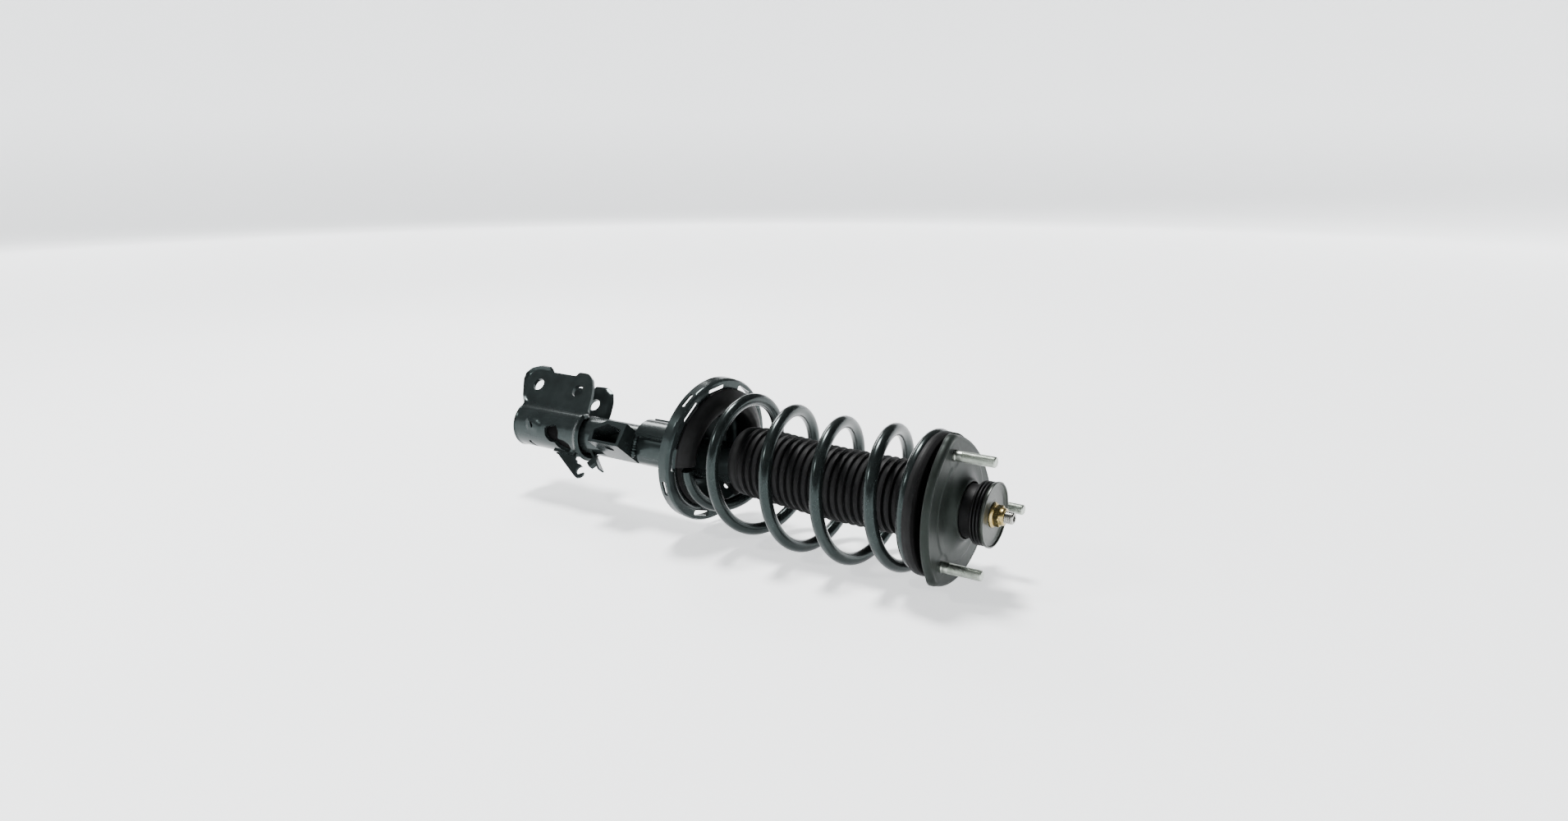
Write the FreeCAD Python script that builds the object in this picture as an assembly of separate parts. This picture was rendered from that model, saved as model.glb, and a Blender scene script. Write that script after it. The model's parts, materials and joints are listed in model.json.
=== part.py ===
import FreeCAD, Part

import math
import os

from FreeCAD import Vector

# A front MacPherson strut assembly, lying on its side.
# X runs along the strut's axis, from the knuckle end (low) to the top mount (high). Z is up.
# Stations are distances along X in millimetres from the bracket's lower end. Angles about the
# strut's axis are in degrees from +Y towards +Z. The finished part is moved so that its origin is
# on the strut's axis, in the face of the mount plate where the studs stand.

# ---- driving dimensions -----------------------------------------------------------------------
MOUNT_FACE = 650.0            # station of the mount plate's face
TUBE_R = 25.0                 # reservoir tube
TUBE_WALL = 2.5
TUBE_LOW = 3.0
TUBE_TOP = 392.0
INNER_R = 17.0                # pressure tube that the piston runs in
INNER_BORE_R = 15.0
INNER_TOP = 372.0
ROD_R = 11.0
ROD_BOTTOM = 343.5            # full extension: the rebound stop is at the rod guide

BRACKET_ROLL = -39.6          # turns the bracket's own frame, ears up, into its place
BRACKET_LENGTH = 112.0
BRACKET_SHEET = 4.9
BRACKET_FACE = 23.3           # outer face of each ear, from the strut's axis
BOLT_R = 8.5                  # M16 bolts in 17 mm holes
BOLT_STATIONS = (8.0, 80.0)
BOLT_OUT = 49.7               # bolt axes, from the strut's axis
EAR_TOP = 76.0
FLARE = 5.6                   # the wrap's upper edge stands out by this much
LINK_HOLE_R = 6.1             # takes an M12 link stud
LINK_HOLE_STATION = 187.0
WINDOW_ANGLE = 176.0          # about the strut's axis, where the six-sided window faces

SEAT_STATION = 321.0          # front face of the lower seat's flat rim
SEAT_R = 90.9                 # outside of its skirt
SEAT_SKIRT = 15.5             # the skirt hangs this far behind the rim's face
SEAT_SLOT_R = 83.3            # middle of the slots in the rim
SEAT_RIM_SLOTS = (18, 57, 96, 131.5, 175, 252, 291, 330)
SEAT_SKIRT_SLOTS = (50, 125, 200, 275, 340)
SEAT_DRAINS = (30, 120, 210, 300)
SEAT_FLOOR = 306.0
SEAT_SHEET = 3.0
SEAT_OFFSET = (0.0, 4.0, 11.0)
SEAT_LEAN = 7.1               # lean of the seat towards the front and down
SEAT_LEAN_TO = 225.0          # direction that its face leans to

WIRE_R = 7.5
COIL_R = 77.4                 # mean radius of the spring's middle turns
COIL_LOW_R = 66.0             # mean radius where the wire starts
COIL_TAPER = 4.4              # the upper end turn is this much smaller in radius
COIL_START = 338.8            # station of the wire's lower end, before its lean
COIL_START_ANGLE = -172.0
COIL_LEAN = 12.3              # lean of the lower end turn, fading over two turns
COIL_LEAN_TO = 204.0
COIL_TURNS = 5.15
COIL_CLOSED = 5.0             # turn at which the upper end has closed up
COIL_PITCH = 66.7
COIL_LOW_PITCH = 26.0
COIL_HIGH_PITCH = -1.0
COIL_BOW = 6.5e-4             # curvature of the spring's centre line, per mm
COIL_BOW_MIDDLE = 508.0
COIL_BOW_DEPTH = 5.3

STUD_R = 6.0
STUD_NECK_R = 6.4             # splined neck pressed into the plate
STUD_PCD = 139.0
STUD_LENGTH = 46.0
STUD_ANGLES = (-11.5, 108.5, 228.5)
LOBE_R = 22.5                 # plate's outline round each stud
SIDE_R = (71.5, 84.5, 82.8)   # from the axis to the middle of each side between the studs
SIDE_SWING = (46.0, 28.0, 31.0)   # how far the arc round a stud runs before that side starts
NECK_R = 30.0
WASHER_R = 36.3
WASHER_STATION = 684.0
ROD_TIP = 710.5

BEARING_R = 44.0
BALL_R = 3.0
BALL_COUNT = 28

RUNNING = 0.05                # radial clearance of the sliding and turning fits
FULL_TURN = 360.0


# ---- helpers ----------------------------------------------------------------------------------
def disc(x_low, x_high, radius):
    return Part.makeCylinder(radius, x_high - x_low, Vector(x_low, 0, 0), Vector(1, 0, 0))


def sleeve(x_low, x_high, outer, inner):
    return disc(x_low, x_high, outer).cut(disc(x_low - 1, x_high + 1, inner))


def polygon(points):
    corners = [Vector(*point) for point in points]
    return Part.Face(Part.makePolygon(corners + corners[:1]))


def revolve(profile, angle=FULL_TURN):
    """Turn a closed outline of (station, radius) points about the strut's axis."""
    face = polygon([(x, 0, r) for x, r in profile])
    return face.revolve(Vector(0, 0, 0), Vector(1, 0, 0), angle)


def plate(outline, y_low, y_high):
    """A flat plate across Y with an outline of (x, z) points."""
    return polygon([(x, y_low, z) for x, z in outline]).extrude(Vector(0, y_high - y_low, 0))


def turned(shape, angle, centre=(0, 0, 0), axis=(1, 0, 0)):
    copy = shape.copy()
    copy.rotate(Vector(*centre), Vector(*axis), angle)
    return copy


def around(angle, radius, x=0.0):
    turn = math.radians(angle)
    return Vector(x, radius * math.cos(turn), radius * math.sin(turn))


def in_bracket_frame(shape):
    """Turn a shape drawn with the ears pointing up (+Z) into its place on the strut."""
    return turned(shape, BRACKET_ROLL)


def on_seat(shape):
    """Lean a shape drawn square to the strut's axis into the lower seat's place."""
    across = around(SEAT_LEAN_TO + 90, 1)
    copy = shape.copy()
    copy.rotate(Vector(SEAT_STATION, 0, 0), across, SEAT_LEAN)
    copy.translate(Vector(*SEAT_OFFSET))
    return copy


def hexagon(across_flats, x_low, x_high):
    corner = across_flats / math.sqrt(3)
    points = [around(60 * i, corner, x_low) for i in range(6)]
    return polygon(points).extrude(Vector(x_high - x_low, 0, 0))


def save(name, *shapes):
    solids = [solid for shape in shapes for solid in shape.Solids]
    whole = solids[0] if len(solids) == 1 else Part.makeCompound(solids)
    whole.translate(Vector(-MOUNT_FACE, 0, 0))
    volume = sum(solid.Volume for solid in solids) / 1000
    print(f"{name:24s} solids {len(solids):3d}  valid {whole.isValid()}  {volume:9.2f} cm3")
    whole.exportStep(f"parts/{name}.step")


# ---- damper -----------------------------------------------------------------------------------
def strut_tube():
    rolled_edge = revolve([(TUBE_TOP - 1, TUBE_R - TUBE_WALL), (TUBE_TOP + 2.5, TUBE_R - 6.5),
                           (TUBE_TOP + 3.5, TUBE_R - 5.5), (TUBE_TOP + 2.5, TUBE_R - 1.5),
                           (TUBE_TOP - 1, TUBE_R)])
    body = sleeve(TUBE_LOW, TUBE_TOP, TUBE_R, TUBE_R - TUBE_WALL)
    return body.fuse(rolled_edge).removeSplitter()


def bottom_cap():
    bore = TUBE_R - TUBE_WALL - 0.05
    profile = [(TUBE_LOW + 1, 0), (TUBE_LOW + 3, 12), (TUBE_LOW, bore - 2), (TUBE_LOW, bore),
               (TUBE_LOW + 8, bore), (TUBE_LOW + 8, bore - 3), (TUBE_LOW + 6, 12),
               (TUBE_LOW + 4, 0)]
    return revolve(profile)


def inner_cylinder():
    return sleeve(20, INNER_TOP, INNER_R, INNER_BORE_R)


def base_valve():
    body = revolve([(12, 0), (12, 20), (15, 20), (19.9, INNER_R), (19.9, INNER_BORE_R - 0.1),
                    (26, INNER_BORE_R - 0.1), (26, 0)])
    for i in range(6):
        port = disc(10, 28, 1.6)
        port.translate(around(60 * i, 8))
        body = body.cut(port)
    return body


def rod_guide():
    bore = ROD_R + 1.5
    return revolve([(INNER_TOP - 8, bore), (INNER_TOP - 8, INNER_BORE_R - 0.1),
                    (INNER_TOP + 0.1, INNER_BORE_R - 0.1), (INNER_TOP + 0.1, 22.4),
                    (INNER_TOP + 13, 22.4), (INNER_TOP + 13, bore)])


def guide_bush():
    return sleeve(INNER_TOP - 7, INNER_TOP + 12, ROD_R + 1.45, ROD_R + RUNNING)


def oil_seal():
    low = INNER_TOP + 13.1
    return revolve([(low, ROD_R + 0.08), (low, 22.3), (low + 5, 22.3), (low + 5.6, 17.5),
                    (low + 7, ROD_R + 2), (low + 8.5, ROD_R + 0.08), (low + 7, ROD_R + 0.4),
                    (low + 4, ROD_R + 0.6), (low + 1.5, ROD_R + 0.08)])


def tube_cap():
    """Striker cap on the tube's end that the bump stop meets."""
    bore = ROD_R + 2.5
    low = TUBE_TOP - 10
    top = TUBE_TOP + 4
    return revolve([(low, TUBE_R + 0.05), (low, TUBE_R + 1.6), (top, TUBE_R + 1.6),
                    (top + 2, TUBE_R), (top + 2, bore), (top, bore), (top, TUBE_R + 0.05)])


def piston_rod():
    tenon = 6.0
    thread = 6.9
    shoulder = 641.0
    body = revolve([(ROD_BOTTOM - 22, 0), (ROD_BOTTOM - 22, tenon - 0.8),
                    (ROD_BOTTOM - 21, tenon), (ROD_BOTTOM, tenon), (ROD_BOTTOM, ROD_R - 0.6),
                    (ROD_BOTTOM + 0.6, ROD_R), (shoulder - 1.5, ROD_R), (shoulder, ROD_R - 1.5),
                    (shoulder, thread), (ROD_TIP - 1.2, thread), (ROD_TIP, thread - 1.2),
                    (ROD_TIP, 0)])
    return body.cut(hexagon(6.0, ROD_TIP - 7, ROD_TIP + 1))


def piston():
    body = revolve([(ROD_BOTTOM - 14, 6.05), (ROD_BOTTOM - 14, 14.2), (ROD_BOTTOM - 0.1, 14.2),
                    (ROD_BOTTOM - 0.1, 6.05)])
    for i in range(8):
        port = disc(ROD_BOTTOM - 20, ROD_BOTTOM + 5, 1.3)
        port.translate(around(45 * i, 10))
        body = body.cut(port)
    return body


def piston_ring():
    return sleeve(ROD_BOTTOM - 12, ROD_BOTTOM - 2, INNER_BORE_R - RUNNING, 14.25)


def piston_shims():
    return [sleeve(ROD_BOTTOM - 14.1 - 0.5 * i, ROD_BOTTOM - 13.7 - 0.5 * i, 12.5 - i, 6.1)
            for i in range(1, 4)]


def piston_nut():
    return hexagon(17, ROD_BOTTOM - 21.6, ROD_BOTTOM - 15.8).cut(
        disc(ROD_BOTTOM - 30, ROD_BOTTOM, 6.05))


def rebound_stop():
    return sleeve(ROD_BOTTOM + 6, ROD_BOTTOM + 20, 14.0, ROD_R + 0.02)


# ---- brackets on the tube ---------------------------------------------------------------------
def ear_outline():
    """Outline of an ear and the wrap below it, as (x, z), in the bracket's own frame."""
    return [(0, -40), (0, 19), (-8, 28), (-20, 52), (-21, 64), (-14, 72), (-2, EAR_TOP),
            (16, EAR_TOP), (22, EAR_TOP - 5), (66, EAR_TOP - 5), (69, EAR_TOP + 1),
            (86, EAR_TOP + 1), (96, 70), (103, 58), (109, 40), (BRACKET_LENGTH, 22),
            (BRACKET_LENGTH, -40)]


def bracket_section():
    """U-shaped cross-section: the wrap round the tube and the two ears."""
    outer = TUBE_R + 0.1 + BRACKET_SHEET
    inner = TUBE_R + 0.1
    ear_in = BRACKET_FACE - BRACKET_SHEET
    reach = 90.0
    low = -25.0
    length = 150.0

    def slab(half_width):
        return Part.makeBox(length, 2 * half_width, reach, Vector(low, -half_width, 0))

    def bar(radius):
        return Part.makeCylinder(radius, length, Vector(low, 0, 0), Vector(1, 0, 0))

    full = bar(outer).fuse(slab(BRACKET_FACE))
    trimmed = full.cut(Part.makeBox(length, 100, 40, Vector(low, BRACKET_FACE, 0)))
    trimmed = trimmed.cut(Part.makeBox(length, 100, 40, Vector(low, -BRACKET_FACE - 100, 0)))
    side = bar(outer).common(Part.makeBox(length, 100, outer, Vector(low, -50, -outer)))
    shoulder = bar(outer).common(Part.makeBox(length, 100, 19, Vector(low, -50, -0.01)))
    whole = trimmed.fuse([side, shoulder])
    return whole.cut(bar(inner)).cut(slab(ear_in))


def across_ears(x, z, radius):
    return Part.makeCylinder(radius, 120, Vector(x, -60, z), Vector(0, 1, 0))


def wrap_window(x, angle, length, width):
    """Cutter for a round-ended window in the wrap, long side along the strut."""
    half = max(length - width, 0) / 2
    outward = around(angle, 1)
    ends = [Part.makeCylinder(width / 2, 20, Vector(x + side * half, 0, 0) + outward * 20, outward)
            for side in (-1, 1)]
    if half == 0:
        return ends[0]
    middle = Part.makeBox(2 * half, width, 20, Vector(x - half, -width / 2, 20))
    return ends[0].fuse([ends[1], turned(middle, angle - 90)])


def edge_lip(x_low, x_high, y_low, y_high):
    """A turned lip that follows the ears' outline between two stations."""
    outline = Part.makePolygon([Vector(x, y_low, z) for x, z in ear_outline()]
                               + [Vector(0, y_low, -40)])
    face = Part.Face(outline)
    inner = face.makeOffset2D(-BRACKET_SHEET)
    depth = Vector(0, y_high - y_low, 0)
    band = face.extrude(depth).cut(inner.extrude(depth))
    keep = Part.makeBox(x_high - x_low, 200, 80, Vector(x_low, -100, 19))
    return band.common(keep)


def knuckle_bracket():
    outline = plate(ear_outline(), -60, 60)
    body = bracket_section().common(outline)
    lip = 6.0
    face = BRACKET_FACE - 0.5
    body = body.fuse([edge_lip(-30, 17, -BRACKET_FACE - lip, -face),
                      edge_lip(-30, 17, face, BRACKET_FACE + lip),
                      edge_lip(92, 120, face, BRACKET_FACE + lip)])
    outer = TUBE_R + 0.1 + BRACKET_SHEET
    below_ears = Part.makeBox(160, 100, 59, Vector(-10, -50, -40))
    low_lip = revolve([(0, outer - 1), (0, outer + 2.5), (4, outer + 2.5), (6, outer - 1)])
    high_lip = revolve([(BRACKET_LENGTH - 7, outer), (BRACKET_LENGTH + 4, outer + FLARE),
                        (BRACKET_LENGTH + 6, outer + FLARE - 1.2),
                        (BRACKET_LENGTH - 2, TUBE_R + 0.1), (BRACKET_LENGTH - 7, TUBE_R + 0.1)])
    body = body.fuse([low_lip.common(below_ears), high_lip.common(below_ears)])
    for x in BOLT_STATIONS:
        body = body.cut(across_ears(x, BOLT_OUT, BOLT_R))
    local_front = WINDOW_ANGLE - BRACKET_ROLL
    window = hexagon(25, 20, 40)
    window = turned(window, -90, axis=(0, 1, 0))
    window = turned(window, local_front - 90)
    window.translate(Vector(70, 0, 0))
    body = body.cut(window)
    body = body.cut(wrap_window(88, local_front + 30, 25, 17))
    body = body.cut(wrap_window(27.5, local_front + 50, 12, 6))
    body = body.cut(wrap_window(33, local_front - 13, 6, 3.2))
    return in_bracket_frame(body.removeSplitter())


def hose_bracket():
    """Flag-shaped tongue with an open hook for the brake hose, below the wrap."""
    outline = [(62, -30.4), (112, -59.5), (117, -61.5), (122, -60), (125.5, -56), (125, -52),
               (120.5, -54.5), (117.5, -56), (113, -54.5), (111.7, -50.5), (113, -47),
               (116, -45), (119, -44.5), (114, -42), (107, -41.5), (105, -37.5), (101, -35.5),
               (100, -29.6)]
    sheet = 3.0
    body = plate(outline, 4, 4 + sheet)
    foot = revolve([(64, 30.1), (64, 33), (98, 33), (98, 30.1)], 34)
    foot = turned(foot, 178)
    return in_bracket_frame(body.fuse(foot).cut(disc(50, 130, 30.05)).removeSplitter())


def sensor_lead_clip():
    """Small tab with a folded keeper for the wheel-speed sensor's lead."""
    strip = plate([(128, -23), (157, -47.5), (158.5, -45.8), (133, -23)], -9, 3)
    keeper = plate([(138, -33), (132, -41), (139, -46), (146, -38)], -6, 2)
    return in_bracket_frame(strip.fuse(keeper).cut(disc(120, 140, TUBE_R + 0.05)))


def link_bracket():
    """Five-sided pocket that stands off the tube and holds the stabiliser link."""
    outer = [(160, -26), (156, -7), (177, 6), (209, 6), (209, -26)]
    inner = [(165, -22.5), (162, -9), (179.5, 1.5), (203.5, -3), (204.5, -22.5)]
    body = plate(outer, -52, 0).cut(plate(inner, -60, 10))
    body = body.cut(disc(120, 240, TUBE_R + 0.05))
    hole = Part.makeCylinder(LINK_HOLE_R, 20, Vector(LINK_HOLE_STATION, -38, -30),
                             Vector(0, 0, 1))
    return in_bracket_frame(body.cut(hole))


def seat_support():
    """Saddle sheet that stiffens the lower seat, with a pointed tip."""
    outer = TUBE_R + 10
    inner = outer - 3
    arch = sleeve(212, 300, outer, inner)
    sector = polygon([(200, 0, 0), around(64, 80, 200), around(104, 80, 200),
                      around(140, 80, 200)]).extrude(Vector(120, 0, 0))
    arch = arch.common(sector)
    tip = Part.makeBox(60, 80, 60, Vector(160, -40, 0))
    tip = turned(tip, -22, (226, 0, 30), (0, 1, 0))
    legs = [Part.makeBox(84, 3, 12, Vector(216, -1.5, TUBE_R - 0.3)) for _ in range(2)]
    legs[0] = turned(legs[0], -20)
    legs[1] = turned(legs[1], 44)
    return arch.fuse(legs).cut(disc(150, 320, TUBE_R + 0.05)).cut(lower_spring_seat())


# ---- springs and seats ------------------------------------------------------------------------
def lower_spring_seat():
    """Pan with a skirt, a flat slotted rim and a cone that runs in to a collar on the tube."""
    neck = 40.0
    f = SEAT_FLOOR
    rim = SEAT_STATION
    back = rim - SEAT_SHEET
    inside = SEAT_R - SEAT_SHEET
    pan = revolve([(rim - SEAT_SKIRT, SEAT_R), (rim - 1.8, SEAT_R), (rim, SEAT_R - 1.8),
                   (rim, 79.2), (rim - 1.8, 75.6), (f - 0.8, 59.1), (f - 5.6, 51.2),
                   (f - 6.5, 42.8), (f - 9.5, 43.0), (f - 8.4, 52.6), (f - 3.2, 61.0),
                   (back - 1.2, 77.5), (back, 80.0), (back, inside), (rim - SEAT_SKIRT, inside)])
    pan = pan.cut([seat_rim_slot(angle) for angle in SEAT_RIM_SLOTS])
    pan = pan.cut([seat_skirt_slot(angle) for angle in SEAT_SKIRT_SLOTS])
    drain = Part.makeCylinder(3.3, 30, Vector(back - 20, 68.5, 0), Vector(1, 0, 0))
    pan = pan.cut([turned(drain, angle) for angle in SEAT_DRAINS])
    collar = revolve([(f - 26, TUBE_R + 0.05), (f - 26, TUBE_R + 3), (f - 12, TUBE_R + 4),
                      (f - 8, neck - 5), (f - 4, neck + 1), (f, neck - 2),
                      (f - 4, TUBE_R + 5), (f + 2, TUBE_R + 3), (f + 8, TUBE_R + 3),
                      (f + 8, TUBE_R + 0.05)])
    joined = on_seat(pan).fuse(collar).fuse(seat_web())
    return joined.cut(disc(200, 400, TUBE_R + 0.05))


def seat_rim_slot(angle):
    """Round-ended slot that runs round the seat's flat rim."""
    radius = 3.3
    half = 8.0
    low = SEAT_STATION - 6
    end = Part.makeCylinder(radius, 12, Vector(low, SEAT_SLOT_R, 0), Vector(1, 0, 0))
    inner, outer = SEAT_SLOT_R - radius, SEAT_SLOT_R + radius
    web = revolve([(low, inner), (low, outer), (low + 12, outer), (low + 12, inner)], 2 * half)
    web = turned(web, -90 - half)
    slot = turned(end, half).fuse([turned(end, -half), web])
    return turned(slot, angle)


def seat_skirt_slot(angle):
    """Short round-ended slot in the seat's skirt."""
    radius = 2.7
    half = 5.0
    middle = SEAT_STATION - 8.5
    end = Part.makeCylinder(radius, 12, Vector(middle, SEAT_R - 6, 0), Vector(0, 1, 0))
    low, high = middle - radius, middle + radius
    inner, outer = SEAT_R - 6, SEAT_R + 6
    web = revolve([(low, inner), (low, outer), (high, outer), (high, inner)], 2 * half)
    web = turned(web, -90 - half)
    slot = turned(end, half).fuse([turned(end, -half), web])
    return turned(slot, angle)


def seat_web():
    """Floor of the seat between its collar and its offset pan."""
    f = SEAT_FLOOR
    floor = revolve([(f - 8, 0), (f - 8, 43), (f - 5, 43), (f - 5, 0)])
    return on_seat(floor)


def lower_isolator():
    """Horseshoe of rubber on the seat's cone and rim, with a low ledge under the wire's end."""
    f = SEAT_FLOOR
    rim = SEAT_STATION
    ring = revolve([(f - 3.2, 55.0), (f - 0.8, 59.1), (rim - 1.8, 75.6), (rim, 79.2),
                    (rim, 79.4), (rim + 3, 79.4), (rim + 8.5, 74.6), (rim + 13.5, 67.5),
                    (rim + 15.5, 60.5), (rim + 13, 55.0), (rim + 4, 53.0), (f + 1, 53.6)], 244)
    ledge = revolve([(f + 0.9, 61.0), (f + 9.4, 71.0), (rim - 3.0, 71.8), (rim - 2.8, 61.0)], 67)
    return on_seat(turned(ring, -152).fuse(turned(ledge, 92)))


def spring_path():
    """Centre line of the wire: a bowed helix whose ends close up against the seats."""
    def smooth(value):
        share = min(max(value, 0.0), 1.0)
        return share * share * (3 - 2 * share)

    steps_per_turn = 16
    count = int(COIL_TURNS * steps_per_turn)
    station = COIL_START
    points = []
    for i in range(count + 1):
        t = i / steps_per_turn
        turn = math.radians(COIL_START_ANGLE + FULL_TURN * t)
        narrowed = (COIL_R - COIL_LOW_R) * (1 - smooth(t / 1.1))
        radius = COIL_R - narrowed - COIL_TAPER * smooth((t - COIL_CLOSED) / 1.5 + 1)
        centre_z = COIL_BOW * (station - COIL_BOW_MIDDLE) ** 2 - COIL_BOW_DEPTH
        lean = math.tan(math.radians(COIL_LEAN)) * (1 - smooth(t / 2)) * radius
        lean_x = -lean * math.cos(turn - math.radians(COIL_LEAN_TO))
        points.append(Vector(station + lean_x, radius * math.cos(turn) + 0.5,
                             centre_z + radius * math.sin(turn)))
        pitch = (COIL_PITCH - (COIL_PITCH - COIL_LOW_PITCH) * (1 - smooth(t / 1.2))
                 - (COIL_PITCH - COIL_HIGH_PITCH) * (1 - smooth(COIL_CLOSED - t)))
        station += pitch / steps_per_turn
    return points


def coil_spring():
    points = spring_path()
    curve = Part.BSplineCurve()
    curve.interpolate(points)
    path = Part.Wire([curve.toShape()])
    ahead = points[1] - points[0]
    ring = Part.Wire([Part.makeCircle(WIRE_R, points[0], ahead)])
    return path.makePipeShell([ring], True, True)


def dust_boot():
    low, high = 363.0, 617.0
    outer, inner, wall = 43.0, 36.5, 1.6
    cuff = 16.0
    count = 25
    pitch = (high - low - cuff) / count
    outside = [(low, 33), (low + 1.5, 37), (low + 5, 40), (low + cuff, 41.5)]
    for i in range(count):
        start = low + cuff + pitch * i
        outside += [(start + pitch * 0.25, inner + 1), (start + pitch * 0.5, inner + 1.2),
                    (start + pitch * 0.8, outer), (start + pitch, outer - 0.3)]
    outside = outside[:-1] + [(high, outer - 0.3)]
    inside = [(x, r - wall) for x, r in reversed(outside[1:])] + [(low + wall, 32)]
    return revolve(outside + inside)


def bump_stop():
    low, high = 549.0, 630.0
    bore = ROD_R + 0.1
    return revolve([(low, bore), (low, 15), (low + 4, 18), (low + 16, 19.5), (low + 20, 16.5),
                    (low + 24, 20.5), (low + 40, 22.5), (low + 44, 18.5), (low + 48, 23),
                    (low + 66, 24), (high - 4, 24), (high, 22), (high, bore)])


def upper_isolator():
    return revolve([(623.5, 60), (621.4, 65), (621.4, 77), (619.5, 79.2), (617, 79.4),
                    (617, 81), (622, 81.2), (628.9, 78), (628.9, 60)])


def upper_spring_seat():
    """Stamped seat with a hat that the bearing's lower race sits on."""
    return revolve([(629, 50), (629, 78.6), (627.5, 79.2), (627.5, 80.6), (631, 80.6),
                    (632, 78.8), (632, 54), (634.5, 51), (634.5, 26.5), (631.5, 26.5),
                    (631.5, 49)])


def bearing_lower_race():
    groove = [(637.6 + (BALL_R + 0.1) * (1 - math.cos(math.radians(a))) - 1.4,
               BEARING_R - (BALL_R + 0.1) * math.sin(math.radians(a))) for a in (50, 25, 0)]
    groove += [(x, 2 * BEARING_R - r) for x, r in reversed(groove[:-1])]
    return revolve([(634.6, BEARING_R - 6), (groove[0][0], BEARING_R - 6)] + groove
                   + [(groove[0][0], BEARING_R + 6), (634.6, BEARING_R + 6)])


def bearing_upper_race():
    lower = bearing_lower_race()
    race = lower.mirror(Vector(ball_station(), 0, 0), Vector(1, 0, 0))
    high = MOUNT_FACE - 3.3
    return race.fuse(sleeve(ball_station() + 4.6, high, BEARING_R + 6, BEARING_R - 6))


def ball_station():
    return 636.2 + BALL_R + 0.1


def bearing_balls():
    step = FULL_TURN / BALL_COUNT
    return [Part.makeSphere(BALL_R, around(step * i, BEARING_R, ball_station()))
            for i in range(BALL_COUNT)]


def bearing_cage():
    middle = ball_station()
    ring = sleeve(middle - 0.6, middle + 0.6, BEARING_R + 4.6, BEARING_R - 4.6)
    step = FULL_TURN / BALL_COUNT
    for i in range(BALL_COUNT):
        pocket = disc(middle - 2, middle + 2, BALL_R + 0.1)
        pocket.translate(around(step * i, BEARING_R))
        ring = ring.cut(pocket)
    return ring


# ---- top mount --------------------------------------------------------------------------------
def lobed_outline(x, grow):
    """Rounded triangle: an arc round each stud, joined by sides that bulge differently."""
    lobe = LOBE_R + grow
    reach = STUD_PCD / 2
    edges = []
    for i, angle in enumerate(STUD_ANGLES):
        following = STUD_ANGLES[(i + 1) % 3] + (FULL_TURN if i == 2 else 0)
        centre = around(angle, reach, x)
        next_centre = around(following, reach, x)
        start = centre + around(angle - SIDE_SWING[i - 1], lobe)
        finish = centre + around(angle + SIDE_SWING[i], lobe)
        edges.append(Part.Arc(start, centre + around(angle, lobe), finish).toShape())
        middle = around((angle + following) / 2, SIDE_R[i] + grow, x)
        side_end = next_centre + around(following - SIDE_SWING[i], lobe)
        edges.append(Part.Arc(finish, middle, side_end).toShape())
    return Part.Face(Part.Wire(edges))


def lobed_shell(levels):
    """Solid through lobed outlines, given as (station, growth) pairs."""
    wires = [lobed_outline(x, grow).OuterWire for x, grow in levels]
    return Part.makeLoft(wires, True, True)


def mount_plate():
    back = 641.0
    inside = MOUNT_FACE - 3.2
    body = lobed_shell([(back, 0), (MOUNT_FACE - 4.5, 0), (MOUNT_FACE - 1.6, -1.6),
                        (MOUNT_FACE, -5)])
    hollow = lobed_shell([(back - 1, -3.2), (inside - 3.5, -3.2), (inside, -6.5)])
    boss = revolve([(inside, NECK_R), (inside, NECK_R + 12), (MOUNT_FACE, NECK_R + 16),
                    (MOUNT_FACE + 2.5, NECK_R + 9), (MOUNT_FACE + 6, NECK_R + 4),
                    (MOUNT_FACE + 10, NECK_R + 2.5), (MOUNT_FACE + 10, NECK_R)])
    body = body.cut(hollow).cut(disc(back - 5, MOUNT_FACE + 5, NECK_R + 11)).fuse(boss)
    for angle in STUD_ANGLES:
        hole = disc(back, MOUNT_FACE + 5, STUD_NECK_R + 0.02)
        hole.translate(around(angle, STUD_PCD / 2))
        body = body.cut(hole)
    return body


def mount_studs():
    studs = []
    inside = MOUNT_FACE - 3.2
    for angle in STUD_ANGLES:
        tip = MOUNT_FACE + STUD_LENGTH
        stud = revolve([(inside - 3, 0), (inside - 3, 8), (inside - 0.05, 8),
                        (inside - 0.05, STUD_NECK_R), (MOUNT_FACE, STUD_NECK_R),
                        (MOUNT_FACE, STUD_R), (tip - 3, STUD_R), (tip - 2, STUD_R - 0.9),
                        (tip - 0.6, STUD_R - 0.9), (tip, STUD_R - 1.5), (tip, 0)])
        stud.translate(around(angle, STUD_PCD / 2))
        studs.append(stud)
    return studs


def mount_rubber():
    """Bonded rubber body: the neck and its three lips under the washer."""
    lip = WASHER_R - 1.0
    outline = [(646, 11.1), (644.6, 14), (644.6, NECK_R - 0.1), (672.5, NECK_R - 0.1)]
    lips = 3
    pitch = (WASHER_STATION - 673) / lips
    for i in range(lips):
        low = 673 + pitch * i
        outline += [(low + 0.3, lip - 1.2), (low + 0.9, lip), (low + pitch - 1.4, lip),
                    (low + pitch - 0.7, lip - 1.2), (low + pitch - 0.5, NECK_R + 1)]
    outline = outline[:-1] + [(WASHER_STATION - 0.1, lip - 1.2), (WASHER_STATION - 0.1, 11.1)]
    return revolve(outline)


def mount_sleeve():
    return sleeve(641.1, WASHER_STATION - 0.1, 11.0, 7.0)


def rebound_washer():
    low = WASHER_STATION
    return revolve([(low, 7.2), (low, WASHER_R - 2), (low + 1.5, WASHER_R),
                    (low + 5.5, WASHER_R), (low + 5.5, WASHER_R - 1.6),
                    (low + 2.6, WASHER_R - 3.4), (low + 2.6, 7.2)])


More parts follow.
